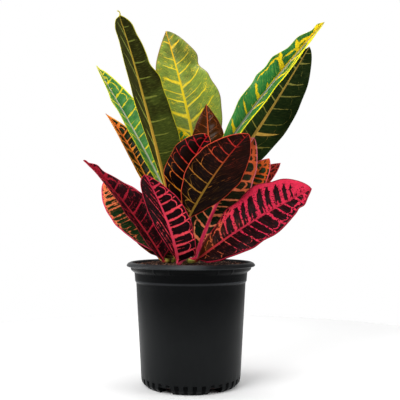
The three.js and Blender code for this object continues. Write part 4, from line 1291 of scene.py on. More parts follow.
@dataclass
class Foliage:
    """All the leaves, in the order that sets the phase of their waves."""

    leaves: list[Leaf] = field(default_factory=lambda: [
        Leaf("tall_olive", Slot.OLIVE, "left", height=196, heading=-60, base=(-22, -4, 212),
             bends=((-44, -12, 292), (-62, -26, 382)), tip=(-88, -45, 460),
             face=((-0.1, 1, 0.1), (-0.05, 0.9, 0.3)), curl=-2, wave=1, waves=3,
             left=Half(34, 0.38, 0.8, 0.7, 16), right=Half(23, 0.66, 0.8, 0.25, 56),
             nips=(Nip(-1, 0.955, 0.05, 5), Nip(-1, 0.86, 0.05, 1.5), Nip(-1, 0.745, 0.035, -2.2),
                   Nip(-1, 0.68, 0.04, 2), Nip(1, 0.96, 0.04, 4)),
             drip=((-86.5, -45.5, 462.5), (-87.5, -45.5, 465.5), (-90.5, -45, 466))),
        Leaf("broad_light", Slot.GREEN, "main", height=236, heading=100, base=(13, 28, 250),
             bends=((4, 36, 324), (-15, 52, 402)), tip=(-37, 74, 478),
             face=((0.15, -0.95, 0.3), (0.25, -0.9, 0.35)), curl=-3, wave=1.4, waves=3,
             left=Half(42, 0.52, 0.8, 0.95, 10), right=Half(50, 0.52, 0.8, 0.6, 10),
             nips=(Nip(1, 0.745, 0.05, -8), Nip(1, 0.65, 0.05, -3), Nip(-1, 0.66, 0.05, -2))),
        Leaf("young_red", Slot.MAROON, "main", height=262, heading=-80, base=(21, 12, 272),
             bends=((24, 15, 302), (22, 19, 335)), tip=(20, 21, 363),
             face=((0, -0.97, 0.2), (0, -0.97, 0.25)), curl=-1, wave=0.5, waves=3,
             left=Half(22, 0.42, 0.7, 0.95, 8), right=Half(23, 0.42, 0.7, 0.95, 8)),
        Leaf("mottled_tip", Slot.GREEN, "main", height=246, heading=190, base=(3, 14, 256),
             bends=((-2, 9, 278), (-9, 5, 304)), tip=(-24, 4, 330), face=((0.1, -1, 0.1), (0.1, -1, 0.2)),
             curl=-1, wave=0.6, waves=3, left=Half(19, 0.55, 0.8, 0.8, 10),
             right=Half(19, 0.55, 0.8, 0.8, 10)),
        Leaf("bright_green", Slot.GREEN, "main", height=254, heading=-25, base=(29, 8, 274),
             bends=((62, -4, 334), (110, -18, 392)), tip=(167, -36, 455),
             face=((-0.2, -0.97, 0.1), (-0.1, -0.97, 0.15)), curl=-2, wave=1.8, waves=4,
             left=Half(23, 0.52, 0.95, 0.85, 26), right=Half(27, 0.5, 0.9, 0.8, 62),
             nips=(Nip(-1, 0.85, 0.03, 1.2), Nip(-1, 0.77, 0.03, -1.2), Nip(-1, 0.683, 0.03, 1.6),
                   Nip(-1, 0.62, 0.025, -1), Nip(-1, 0.557, 0.03, 1.8), Nip(1, 0.93, 0.05, -3),
                   Nip(-1, 0.93, 0.04, -1.5), Nip(-1, 0.965, 0.026, 2.8), Nip(1, 0.965, 0.026, 2.4))),
        Leaf("dark_olive", Slot.OLIVE, "main", height=222, heading=10, base=(26, 15, 238),
             bends=((64, 18, 290), (112, 22, 362)), tip=(159, 28, 442),
             face=((0.2, 0.97, 0.1), (0.2, 0.97, 0.2)), curl=-2, wave=1.2, waves=3,
             left=Half(33, 0.55, 0.8, 0.65, 8), right=Half(31, 0.5, 0.8, 0.85, 8)),
        Leaf("maroon_left", Slot.MAROON, "front", height=184, heading=150, base=(-14, -19, 212),
             bends=((-9, -23, 250), (2, -26, 290)), tip=(22, -27, 315),
             face=((-0.25, -0.95, 0.1), (-0.3, -0.95, 0.15)), curl=-2, wave=0.8, waves=3,
             left=Half(33, 0.55, 0.8, 0.6, 10), right=Half(30, 0.5, 0.8, 0.65, 14)),
        Leaf("maroon_front", Slot.MAROON, "front", height=190, heading=-70, base=(-3, -32, 210),
             bends=((15, -38, 245), (41, -49, 284)), tip=(70, -62, 311),
             face=((0.25, -0.95, 0.1), (0.35, -0.93, 0.1)), curl=-2, wave=0.9, waves=3,
             left=Half(35, 0.48, 0.75, 0.75, 12), right=Half(31, 0.55, 0.75, 0.62, 14)),
        Leaf("pink_rib", Slot.ORANGE, "front", height=159, heading=25, base=(7, -19, 163),
             bends=((21, -10, 208), (48, -4, 264)), tip=(82, 4, 316), face=((0, -1, 0.1), (0.1, -1, 0.1)),
             curl=-2, wave=1.2, waves=3, left=Half(27, 0.5, 0.35, 0.75, 3),
             right=Half(31, 0.58, 0.9, 0.7, 8)),
        Leaf("orange_spotted", Slot.ORANGE, "main", height=190, heading=-15, base=(24, 9, 203),
             bends=((44, 8, 224), (80, 11, 262)), tip=(103, 16, 290), face=((-0.1, -1, 0.15), (0, -1, 0.2)),
             curl=-1, wave=0.8, waves=3, left=Half(19, 0.6, 0.8, 0.85, 8),
             right=Half(20, 0.62, 0.8, 0.7, 8)),
        Leaf("small_red", Slot.CRIMSON, "main", height=196, heading=35, base=(24, 27, 208),
             bends=((54, 36, 232), (90, 44, 264)), tip=(122, 48, 287),
             face=((-0.2, -1, 0.2), (-0.1, -1, 0.2)), curl=-1, wave=0.8, waves=3,
             left=Half(16, 0.6, 0.8, 0.9, 10), right=Half(16, 0.6, 0.8, 0.8, 10)),
        Leaf("crimson_right", Slot.CRIMSON, "front", height=157, heading=-25, base=(8, -34, 158.5),
             bends=((38, -39, 184), (83, -49, 213)), tip=(146, -56, 246),
             face=((-0.3, -0.8, 0.55), (-0.25, -0.75, 0.6)), curl=-2, wave=1.5, waves=4,
             left=Half(43, 0.64, 0.5, 0.58, 8), right=Half(37, 0.53, 0.5, 0.78, 8),
             nips=(Nip(1, 0.9, 0.03, 1.5), Nip(1, 0.85, 0.025, -2.5))),
        Leaf("crimson_far_left", Slot.CRIMSON, "left", height=157.5, heading=-110, base=(-34.5, -20, 157.5),
             bends=((-56, -27, 199), (-104, -42, 262)), tip=(-131, -46, 281),
             face=((0.3, -0.85, 0.4), (0.3, -0.8, 0.5)), curl=-2, wave=1.4, waves=4,
             left=Half(24, 0.42, 0.6, 0.95, 49), right=Half(27, 0.42, 0.35, 1.6, 18),
             nips=(Nip(1, 0.9, 0.05, 4.5), Nip(1, 0.985, 0.02, 1.8), Nip(-1, 0.95, 0.04, 2.5))),
        Leaf("orange_left", Slot.ORANGE, "left", height=160, heading=165, base=(-40, -4, 166),
             bends=((-56, -5, 195), (-86, -7, 231)), tip=(-112, -4, 258),
             face=((0.1, -1, 0.15), (0.1, -1, 0.2)), curl=-1, wave=0.8, waves=3,
             left=Half(26, 0.58, 0.55, 0.6, 8), right=Half(26, 0.58, 0.8, 0.6, 8)),
        Leaf("crimson_front", Slot.CRIMSON, "front", height=160, heading=-105, base=(-15.5, -44, 156.2),
             bends=((-19, -53, 186), (-32, -60, 223)), tip=(-54, -64, 262),
             face=((0.1, -1, 0.1), (0.1, -1, 0.15)), curl=-2, wave=1.2, waves=4,
             left=Half(27, 0.6, 0.7, 0.35, 48), right=Half(28, 0.42, 0.14, 0.85, 20)),
        Leaf("narrow_orange", Slot.ORANGE, "left", height=184, heading=150, base=(-38, 17, 212),
             bends=((-57, 44, 263), (-93, 54, 330)), tip=(-119, 52, 356),
             face=((0.1, -1, 0.1), (0.1, -1, 0.1)), curl=-1, wave=0.8, waves=3,
             left=Half(21, 0.5, 0.8, 0.8, 64), right=Half(19, 0.55, 0.8, 1.15, 12)),
        Leaf("narrow_green", Slot.GREEN, "left", height=204, heading=120, base=(-26, 15, 224),
             bends=((-47, 36, 278), (-96, 46, 362)), tip=(-131, 44, 421),
             face=((0.1, -1, 0.1), (0.1, -1, 0.1)), curl=-1, wave=1, waves=4,
             left=Half(20, 0.45, 0.8, 0.7, 65), right=Half(28, 0.45, 0.8, 0.78, 14),
             nips=(Nip(-1, 0.74, 0.05, 6), Nip(1, 0.97, 0.02, -1.5))),
        Leaf("brown_behind", Slot.MAROON, "left", height=188, heading=-120, base=(-32, -9, 202),
             bends=((-38, -14, 222), (-47, -19, 246)), tip=(-58, -23, 265),
             face=((0.1, -1, 0.1), (0.1, -1, 0.1)), curl=-1, wave=0.4, waves=2,
             left=Half(9, 0.55, 0.8, 0.7, 10), right=Half(9, 0.55, 0.8, 0.7, 10)),
        Leaf("low_middle", Slot.MAROON, "left", height=156.5, heading=-20, base=(-21, -13.2, 160.5),
             bends=((-22.8, -13.2, 168), (-25, -13, 177)), tip=(-27, -13, 186),
             face=((0.05, -1, 0.1), (0.05, -1, 0.1)), curl=-1, wave=0.5, waves=2,
             left=Half(14.5, 0.4, 0.35, 0.8, 2), right=Half(8.5, 0.4, 0.3, 0.8, 2)),
        Leaf("high_right", Slot.GREEN, "main", height=230, heading=70, base=(26, 38, 246),
             bends=((56, 60, 300), (96, 82, 362)), tip=(132, 98, 414),
             face=((-0.3, -0.85, 0.45), (-0.35, -0.8, 0.5)), curl=-2, wave=1.4, waves=3,
             left=Half(23, 0.5, 0.9, 1, 12), right=Half(22, 0.5, 0.9, 1, 12)),
        Leaf("high_left", Slot.GREEN, "main", height=226, heading=140, base=(-4, 38, 244),
             bends=((-24, 56, 302), (-50, 76, 368)), tip=(-80, 92, 424),
             face=((0.3, -0.85, 0.45), (0.35, -0.8, 0.5)), curl=-2, wave=1.4, waves=3,
             left=Half(18, 0.5, 0.9, 1, 12), right=Half(18, 0.5, 0.9, 1, 12)),
        Leaf("back_tall", Slot.GREEN, "main", height=214, heading=80, base=(16, 44, 228),
             bends=((22, 78, 286), (20, 108, 348)), tip=(16, 132, 402),
             face=((0.35, -0.8, 0.5), (0.45, -0.75, 0.45)), curl=-3, wave=1.6, waves=3,
             left=Half(29, 0.5, 0.8, 0.95, 14), right=Half(29, 0.5, 0.8, 0.95, 14)),
        Leaf("back_right", Slot.GREEN, "main", height=206, heading=55, base=(26, 44, 220),
             bends=((58, 74, 262), (98, 96, 314)), tip=(134, 108, 360),
             face=((-0.5, -0.6, 0.6), (-0.5, -0.5, 0.7)), curl=-2, wave=1.4, waves=3,
             left=Half(23, 0.5, 0.8, 0.95, 10), right=Half(21, 0.5, 0.8, 0.95, 10)),
        Leaf("back_left", Slot.GREEN, "left", height=176, heading=110, base=(-34, 22, 196),
             bends=((-42, 52, 242), (-52, 78, 302)), tip=(-64, 98, 356),
             face=((0.4, -0.7, 0.5), (0.5, -0.65, 0.5)), curl=-2, wave=1.4, waves=3,
             left=Half(22, 0.5, 0.8, 0.95, 12), right=Half(22, 0.5, 0.8, 0.95, 12)),
        Leaf("back_middle", Slot.ORANGE, "main", height=192, heading=120, base=(-2, 36, 204),
             bends=((-8, 66, 240), (-13, 96, 280)), tip=(-16, 124, 318),
             face=((0, -0.75, 0.65), (0, -0.7, 0.7)), curl=-2, wave=1.6, waves=3,
             left=Half(29, 0.52, 0.8, 0.8, 10), right=Half(29, 0.52, 0.8, 0.8, 10)),
        Leaf("low_right", Slot.CRIMSON, "main", height=172, heading=15, base=(28, 24, 180),
             bends=((62, 42, 200), (98, 60, 222)), tip=(130, 74, 242),
             face=((-0.3, -0.5, 0.8), (-0.3, -0.5, 0.8)), curl=-2, wave=1.4, waves=3,
             left=Half(20, 0.5, 0.8, 0.9, 10), right=Half(20, 0.5, 0.8, 0.9, 10)),
        Leaf("low_left", Slot.ORANGE, "left", height=157, heading=125, base=(-42, 14, 160),
             bends=((-66, 28, 194), (-90, 44, 228)), tip=(-110, 58, 254),
             face=((0.3, -0.5, 0.8), (0.3, -0.5, 0.8)), curl=-2, wave=1.4, waves=3,
             left=Half(20, 0.4, 0.6, 0.9, 10), right=Half(12, 0.5, 0.8, 0.9, 10)),
        Leaf("low_back", Slot.CRIMSON, "main", height=170, heading=95, base=(10, 38, 180),
             bends=((14, 68, 198), (18, 100, 212)), tip=(20, 130, 216),
             face=((0, -0.3, 0.95), (0, -0.15, 1)), curl=-3, wave=1.6, waves=3,
             left=Half(27, 0.5, 0.8, 0.85, 10), right=Half(27, 0.5, 0.8, 0.85, 10)),
        Leaf("low_back_left", Slot.MAROON, "left", height=163, heading=100, base=(-32, 22, 172),
             bends=((-42, 50, 194), (-54, 80, 210)), tip=(-66, 106, 216),
             face=((0.1, -0.4, 0.9), (0.1, -0.2, 1)), curl=-3, wave=1.6, waves=3,
             left=Half(23, 0.5, 0.8, 0.85, 10), right=Half(23, 0.5, 0.8, 0.85, 10)),
        Leaf("low_back_right", Slot.CRIMSON, "main", height=162, heading=50, base=(28, 36, 172),
             bends=((50, 62, 190), (72, 90, 204)), tip=(92, 114, 210),
             face=((-0.1, -0.4, 0.9), (-0.1, -0.2, 1)), curl=-3, wave=1.6, waves=3,
             left=Half(23, 0.5, 0.8, 0.85, 10), right=Half(23, 0.5, 0.8, 0.85, 10)),
    ])

    def build(self, stems: dict[str, Stem]) -> list[bpy.types.Object]:
        """Makes every leaf.

        Args:
            stems: The stems by name.

        Returns:
            The leaves.
        """
        return [leaf.build(stems, index) for index, leaf in enumerate(self.leaves)]


@dataclass(frozen=True)
class BarkFinish:
    """Young green-brown bark with paler scars and cork specks. Scales are in cycles a metre."""

    green: Colour = tint("6a6a34")
    brown: Colour = tint("5c4326")
    scar: Colour = tint("9a8a5c")
    age_scale: float = 160.0
    streak_scale: float = 120.0
    streak_squeeze: float = 6.0
    speck_scale: float = 420.0
    relief_depth: float = 0.4
    relief_strength: float = 0.7
    rough: float = 0.72
    gloss: float = 0.3

    def material(self) -> bpy.types.Material:
        """Builds the bark from the numbers kept on the stems.

        Returns:
            The material.
        """
        board = Board("stem_bark_skin")
        place, scar = board.place(), board.attribute("scar")
        age = board.attribute("share") + board.noise(place, self.age_scale) * 0.5
        x, y, z = board.split(place)
        upright = board.join(x * self.streak_squeeze, y * self.streak_squeeze, z)
        streaks = board.noise(upright, self.streak_scale, 3.0)
        specks = board.cells(place, self.speck_scale, "F1").step(0.28, 0.14)
        colour = board.blend(age.step(0.25, 0.95), self.brown, self.green)
        colour = board.shade(colour, streaks * 0.9 + 0.5)
        colour = board.blend((scar + specks * 0.7).least(1.0), colour, self.scar)
        board.relief(streaks + specks * 0.6, self.relief_depth, self.relief_strength)
        return board.finish(Base_Color=colour, Roughness=self.rough, Specular_IOR_Level=self.gloss)


@dataclass
class Stems:
    """The three woody stems, with swollen joints, leaf scars and a bud on top."""

    stems: list[Stem] = field(default_factory=lambda: [
        Stem("main", foot=(6, 12), top=(18, 18, 268), radii=(6, 3.6)),
        Stem("left", foot=(-28, -6), top=(-22, 2, 216), radii=(5, 3.2)),
        Stem("front", foot=(-7, -26), top=(-9, -24, 196), radii=(5.2, 3.1)),
    ])
    depth: float = 22
    sides: int = 40
    row_height: float = 1.0
    joint_pitch: float = 11.0
    joint_spread: float = 0.09
    swelling: float = 0.35
    scar_turn: float = 2.4
    scar_height: float = 0.25
    rough_height: float = 0.1
    rough_length: float = 5.0
    bud_height: float = 6.0
    bud_share: float = 0.25
    seed: int = 31

    def by_name(self) -> dict[str, Stem]:
        """The stems by name."""
        return {stem.name: stem for stem in self.stems}

    def build(self) -> list[bpy.types.Object]:
        """Makes the stems."""
        finish = BarkFinish().material()
        return [self._build_one(stem, finish) for stem in self.stems]

    def _build_one(self, stem: Stem, finish: bpy.types.Material) -> bpy.types.Object:
        """Makes one stem.

        Args:
            stem: The stem.
            finish: The bark.

        Returns:
            The stem's piece.
        """
        low, high = Soil.crown - self.depth, stem.top[2]
        heights = np.arange(low, high, self.row_height)
        centres, radii = stem.at(heights)
        radii = radii[:, None]
        turns = np.linspace(0, 2 * math.pi, self.sides, endpoint=False)
        joints = (heights - low) / self.joint_pitch
        joint = np.exp(-(((joints % 1) - 0.5) / self.joint_spread) ** 2)[:, None]
        facing = np.cos(turns - np.floor(joints)[:, None] * self.scar_turn)
        scar = joint * ease(facing, 0.1, 0.7)
        draw = np.random.default_rng(self.seed)
        rough = bump_field(draw, turns[None, :] * 5, heights[:, None], self.rough_length) * self.rough_height
        taper = ease(heights, high, high - self.bud_height)[:, None] * (1 - self.bud_share) + self.bud_share
        radius = (radii + joint * self.swelling + scar * self.scar_height + rough) * taper
        above = heights > Soil.crown + 0.5
        radius = np.where(above[:, None], radius, np.minimum(radius, radii))
        points = centres[:, None, :] + on_circle(radius, turns, 0.0)
        share = np.clip((heights - Soil.crown) / (high - Soil.crown), 0, 1)[:, None] * np.ones(self.sides)
        faces = band_faces(len(heights), self.sides) + cap_faces(len(heights), self.sides)
        node = f"stem_{stem.name}"
        numbers = {"scar": scar, "share": share}
        return make_piece(f"{node}_bark", points.reshape(-1, 3), faces, finish, (node,), numbers)


@dataclass(frozen=True)
class SoilFinish:
    """Damp dark red-brown potting mix with lighter bark crumbs. Scales are in cycles a metre."""

    dark: Colour = tint("1c0e09")
    red: Colour = tint("42241a")
    bark: Colour = tint("866450")
    cloud_scale: float = 220.0
    fleck_scale: float = 900.0
    grain_scale: float = 1500.0
    relief_depth: float = 0.5
    relief_strength: float = 0.8
    rough: float = 0.88
    gloss: float = 0.25

    def material(self) -> bpy.types.Material:
        """Builds the soil from cloudy noise and each crumb's own draw.

        Returns:
            The material.
        """
        board = Board("potting_soil_skin")
        place, crumb = board.place(), board.attribute("crumb")
        cloud = board.noise(place, self.cloud_scale, 4.0, 0.7)
        colour = board.blend(cloud.step(0.35, 0.7), self.dark, self.red)
        colour = board.blend(crumb.step(0.55, 1.0) * 0.8, colour, self.bark)
        colour = board.shade(colour, crumb * 0.5 + board.noise(place, self.fleck_scale, 2.0) * 0.8 + 0.35)
        board.relief(board.noise(place, self.grain_scale, 3.0), self.relief_depth, self.relief_strength)
        return board.finish(Base_Color=colour, Roughness=self.rough, Specular_IOR_Level=self.gloss)


@dataclass
class Soil:
    """The filled pot's potting mix: one uneven body with crumbs pressed into its top."""

    edge: float = 150.8
    crown: float = 153.0
    radius: float = 74.7
    rings: int = 60
    sides: int = 240
    crumbs: int = 2600
    crumb_size: tuple[float, float] = (0.7, 2.3)
    crumb_stretch: tuple[float, float] = (0.5, 1.7)
    crumb_flatness: float = 0.6
    crumb_dent: float = 0.28
    crumb_margin: float = 2.6
    crease: float = 50
    top_seed: int = 7
    crumb_seed: int = 11
    side_profile: tuple[tuple[float, float], ...] = (
        (56.0, 5.35), (60.8, 11.4), (67.8, 129.6), (69.2, 132.0), (70.0, 143.2), (74.7, 149.7), (74.7, 150.6),
    )

    def height(self, x: np.ndarray, y: np.ndarray) -> np.ndarray:
        """The height of the top.

        Args:
            x: Places across.
            y: Places in depth.

        Returns:
            Heights above the pot's base.
        """
        share = np.clip(np.hypot(x, y) / self.radius, 0, 1)
        draw = np.random.default_rng(self.top_seed)
        rough = bump_field(draw, x, y, 14.0) * 0.35 + bump_field(draw, x, y, 4.0) * 0.22
        return self.edge + (self.crown - self.edge) * (1 - share ** 3) + rough * ease(share, 1.0, 0.9)

    def build(self) -> bpy.types.Object:
        """Makes the soil.

        Returns:
            The soil's piece.
        """
        turns = np.linspace(0, 2 * math.pi, self.sides, endpoint=False)
        rows = [on_circle(radius, turns, height) for radius, height in self.side_profile]
        for share in np.linspace(1, 1 / self.rings, self.rings)[1:]:
            row = on_circle(self.radius * share, turns, 0.0)
            row[:, 2] = self.height(row[:, 0], row[:, 1])
            rows.append(row)
        body = np.vstack(rows)
        faces = band_faces(len(rows), self.sides) + cap_faces(len(rows), self.sides)
        crumb_points, crumb_faces, shades = self._crumbs(len(body))
        points = np.vstack([body, crumb_points])
        numbers = {"crumb": np.concatenate([np.zeros(len(body)), shades])}
        finish = SoilFinish().material()
        faces += crumb_faces
        return make_piece(
            "soil_mix", points, faces, finish, ("soil",), numbers, crease=self.crease)

    def _crumbs(self, start: int) -> tuple[np.ndarray, list[tuple[int, ...]], np.ndarray]:
        """Lumps and slivers pressed into the top, each sunk to about its middle.

        Args:
            start: Number of points that come before them.

        Returns:
            Their points, their faces, and a shade for each point.
        """
        seed = bmesh.new()
        bmesh.ops.create_icosphere(seed, subdivisions=1, radius=1)
        ball = np.array([v.co[:] for v in seed.verts])
        sides = np.array([[v.index for v in f.verts] for f in seed.faces])
        seed.free()
        draw = np.random.default_rng(self.crumb_seed)
        count, corners = self.crumbs, len(ball)
        turn = draw.uniform(0, 2 * math.pi, count)
        far = (self.radius - self.crumb_margin) * np.sqrt(draw.uniform(0, 1, count))
        x, y = far * np.cos(turn), far * np.sin(turn)
        z = self.height(x, y) + 0.1
        least, most = self.crumb_size
        size = draw.uniform(0, 1, count) ** 2.5 * (most - least) + least
        stretch = draw.uniform(*self.crumb_stretch, (count, 3)) * np.array([1, 1, self.crumb_flatness])
        spin = draw.uniform(0, 2 * math.pi, count)[:, None]
        dents = 1 + draw.uniform(-self.crumb_dent, self.crumb_dent, (count, corners, 1))
        lumps = ball[None] * dents * (size[:, None] * stretch)[:, None]
        flat_x = lumps[..., 0] * np.cos(spin) - lumps[..., 1] * np.sin(spin)
        flat_y = lumps[..., 0] * np.sin(spin) + lumps[..., 1] * np.cos(spin)
        points = np.stack([flat_x + x[:, None], flat_y + y[:, None], lumps[..., 2] + z[:, None]], -1)
        faces = (sides[None] + start + np.arange(count)[:, None, None] * corners).reshape(-1, 3)
        shades = np.repeat(draw.uniform(0.05, 1, count), corners)
        return points.reshape(-1, 3), [tuple(face) for face in faces.tolist()], shades


@dataclass(frozen=True)
class PotFinish:
    """Satin black plastic with faint draw marks and scuffs, and painted light: a painted reflection of the
    floor that grows lighter towards the foot, painted shade that keeps the collar and the foot's slots black,
    painted highlight lines along the lip and the collar step, and a painted highlight on the lip's left
    front.

    Heights are millimetres above the base, and scales are in cycles a metre.
    """

    black: Colour = tint("050607")
    # Grey of the painted floor reflection, which lightens the wall towards the foot.
    painted_reflection_grey: Colour = tint("131516")
    # Grey of the painted highlight lines along the lip's lower edge and the collar step.
    highlight_line_grey: Colour = tint("2c2e30")
    scuffed: Colour = tint("3a3c3a")
    # Grey of the painted highlight on the lip.
    lip_highlight_grey: Colour = tint("484a4c")
    lip: float = 149.6
    step: float = 131.4
    below_step: float = 127.0
    # Heights where the painted floor reflection starts and where it is full.
    painted_reflection_start: float = 120.0
    painted_reflection_full: float = 50.0
    draw_scale: float = 22.0
    draw_squeeze: float = 9.0
    cloud_scale: float = 30.0
    scuff_scale: float = 260.0
    scuff_squeeze: float = 5.0
    # Scale of the noise that breaks up the painted highlight lines.
    highlight_breakup_scale: float = 9.0
    grain_scale: float = 1400.0
    relief_depth: float = 0.25
    relief_strength: float = 0.35

    def material(self) -> bpy.types.Material:
        """Builds the plastic from its place on the pot.

        Returns:
            The material.
        """
        board = Board("pot_plastic_skin")
        place = board.place()
        x, y, z = board.split(place)
        upright = board.join(x * self.draw_squeeze, y * self.draw_squeeze, z)
        draw_marks = board.noise(upright, self.draw_scale, 3.0)
        level = board.join(x, y, z * self.scuff_squeeze)
        scuff = board.noise(level, self.scuff_scale, 3.0, 0.65).step(0.66, 0.78)
        cloud = board.noise(place, self.cloud_scale, 4.0, 0.6)
        # Noise that breaks up the painted highlight lines.
        highlight_breakup = board.noise(place, self.highlight_breakup_scale, 3.0).step(0.35, 0.62)
        up = z * 1000
        # Painted light: a painted floor reflection, faint just below the collar step and rising towards the
        # foot. The collar above the step stays black as painted shade under the lip.
        painted_reflection = up.step(self.step, self.below_step) * 0.3 + up.step(self.painted_reflection_start, self.painted_reflection_full) * 0.65
        # Painted shade: the foot's slots get none of the painted reflection, so they stay black between
        # lighter lands.
        painted_reflection = painted_reflection * (1 - board.attribute("groove"))
        lip = up.step(self.lip - 0.4, self.lip + 0.6)
        # Painted highlight lines along the lip's lower edge and the collar step.
        highlight_lines = (abs(up - self.lip).step(1.3, 0.2) + abs(up - self.step).step(2.0, 0.3) * 1.6).least(1.3)
        # Painted highlight on the lip, brightest at its left front, with the whole lip band painted a little
        # lighter.
        lip_highlight = lip * x.step(0.032, -0.006) * (x.step(-0.03, -0.002) * 0.6 + 0.4)
        colour = board.blend((painted_reflection * (cloud + 0.5)).least(1.0), self.black, self.painted_reflection_grey)
        colour = board.blend((highlight_lines * (highlight_breakup + 0.5)).least(1.0), colour, self.highlight_line_grey)
        colour = board.blend(lip_highlight * 0.75 + lip * 0.12, colour, self.lip_highlight_grey)
        colour = board.blend(scuff * 0.25, colour, self.scuffed)
        grain = board.noise(place, self.grain_scale, 2.0)
        board.relief(draw_marks * 0.5 + grain * 0.15, self.relief_depth, self.relief_strength)
        rough = cloud * 0.18 + scuff * 0.15 + painted_reflection * 0.1 + 0.2
        gloss = painted_reflection * 0.05 + lip_highlight * 0.1 + 0.04
        return board.finish(Base_Color=colour, Roughness=rough, Specular_IOR_Level=gloss)


@dataclass
class Pot:
    """The nursery pot: sloped lip, collar in two steps, tapering wall, ribbed foot and six drain recesses."""

    height: float = 155.2
    rim: float = 82.5
    mouth: float = 75.5
    collar: float = 72.3
    wall_top: float = 70.0
    wall_foot: float = 63.4
    foot: float = 57.5
    wall: float = 1.8
    collar_top: float = 149.4
    collar_foot: float = 131.0
    band: float = 11.0
    floor_top: float = 5.0
    floor_lift: float = 3.0
    pad: float = 24.0
    sides: int = 576
    slots: int = 36
    slot_depth: float = 1.8
    drains: int = 6
    drain_width: float = 18.0
    drain_height: float = 7.5
    drain_inner: float = 45.0
    tick_turns: tuple[float, ...] = (25.4, 41.5)
    tick_depth: float = 0.7
    tick_spread: float = 0.75
    fillet: float = 0.9
    longest_run: float = 9.0
    crease: float = 32

    def profile(self) -> list[tuple[float, float]]:
        """Corners of the pot's section.

        Returns:
            Radius and height of each, from the middle of the base out, up and back down the inside.
        """
        return [
            (0, 0), (self.pad, 0), (self.pad + 2, self.floor_lift), (self.foot - 12, self.floor_lift),
            (self.foot - 10, 0), (self.foot, 0), (self.wall_foot - 1, 5), (self.wall_foot, self.band),
            (self.wall_top, self.collar_foot - 2), (self.wall_top + 1.4, self.collar_foot),
            (self.collar, self.collar_top - 7.4), (self.rim - 6.5, self.collar_top - 4.2),
            (self.rim - 5.2, self.collar_top), (self.rim - 1.1, self.collar_top),
            (self.rim, self.collar_top + 1.5), (self.rim - 1.9, self.height - 1.6),
            (self.rim - 5.3, self.height), (self.mouth, self.height - 1.2),
            (self.mouth - 0.1, self.collar_top + 0.1), (self.collar - 1.7, self.collar_top - 6.4),
            (self.collar - 2.5, self.collar_foot + 0.8), (self.wall_top - 1.6, self.collar_foot - 1.4),
            (self.wall_foot - self.wall, self.band), (self.foot - 0.5, self.floor_top), (0, self.floor_top),
        ]

    def rounded(self, steps: int = 4) -> np.ndarray:
        """The section with each corner rounded and long runs split.

        Args:
            steps: Points on each rounded corner.

        Returns:
            Radius and height of each point.
        """
        corners = np.array(self.profile(), float)
        points = [corners[0]]
        for before, here, after in zip(corners[:-2], corners[1:-1], corners[2:]):
            back, on = before - here, after - here
            cut = min(self.fillet, np.linalg.norm(back) * 0.45, np.linalg.norm(on) * 0.45)
            start, end = here + unit(back) * cut, here + unit(on) * cut
            for t in np.linspace(0, 1, steps + 1):
                points.append(start * (1 - t) ** 2 + here * 2 * t * (1 - t) + end * t ** 2)
        points.append(corners[-1])
        split = [points[0]]
        for a, b in zip(points[:-1], points[1:]):
            pieces = max(1, min(12, int(np.linalg.norm(b - a) / self.longest_run)))
            split += [a + (b - a) * (i + 1) / pieces for i in range(pieces)]
        return np.array(split)

    def build(self) -> bpy.types.Object:
        """Makes the pot: turns the section, presses in the slots and ticks, and cuts the drains.

        Returns:
            The pot's piece.
        """
        section = self.rounded()
        inner = section[1:-1]
        turns = np.linspace(0, 2 * math.pi, self.sides, endpoint=False)
        r, z = inner[:, :1], inner[:, 1:]
        outside = (np.arange(len(inner)) <= np.argmax(inner[:, 0]))[:, None]
        groove = self._grooves(turns, r, z) * outside
        radius = r - groove * self.slot_depth + self._ticks(turns, r, z) * outside * self.tick_depth
        ends = [(0, 0, section[0][1]), (0, 0, section[-1][1])]
        points = np.vstack([on_circle(radius, turns, z).reshape(-1, 3), ends])

        n, rows = self.sides, len(inner)
        last, low, high = (rows - 1) * n, rows * n, rows * n + 1
        faces = band_faces(rows, n)
        faces += [(low, (k + 1) % n, k) for k in range(n)]
        faces += [(high, last + k, last + (k + 1) % n) for k in range(n)]
        numbers = {"groove": np.concatenate([groove.ravel(), [0, 0]])}
        finish = PotFinish().material()
        pot = make_piece(
            "pot_shell", points, faces, finish, ("pot",), numbers, crease=self.crease)
        self._cut_drains(pot)
        return pot

    def _grooves(self, turns: np.ndarray, r: np.ndarray, z: np.ndarray) -> np.ndarray:
        """How deep the foot's slots are pressed in, as a share of their depth.

        Args:
            turns: Angles round the pot.
            r: The section's radii, one a row.
            z: Its heights, one a row.

        Returns:
            Shares for each row and angle.
        """
        slot = ease(-np.cos(turns * self.slots), 0.05, 0.55)
        in_band = (r > self.foot - 3) * ease(z, self.band + 1.0, self.band - 0.6) * ease(z, 0.3, 1.6)
        return slot * in_band

    def _ticks(self, turns: np.ndarray, r: np.ndarray, z: np.ndarray) -> np.ndarray:
        """How far the small seams under the lip stand out, as a share of their depth.

        Args:
            turns: Angles round the pot.
            r: The section's radii, one a row.
            z: Its heights, one a row.

        Returns:
            Shares for each row and angle.
        """
        from_front = np.degrees(turns) + 90
        sector = 360 / self.drains
        tick = np.zeros(len(turns))
        for place in self.tick_turns:
            gap = (from_front - place + sector / 2) % sector - sector / 2
            tick += np.exp(-((gap / self.tick_spread) ** 2))
        return tick * ease(z, self.collar_top - 7.6, self.collar_top - 6.4) * (r < self.rim - 4.5)

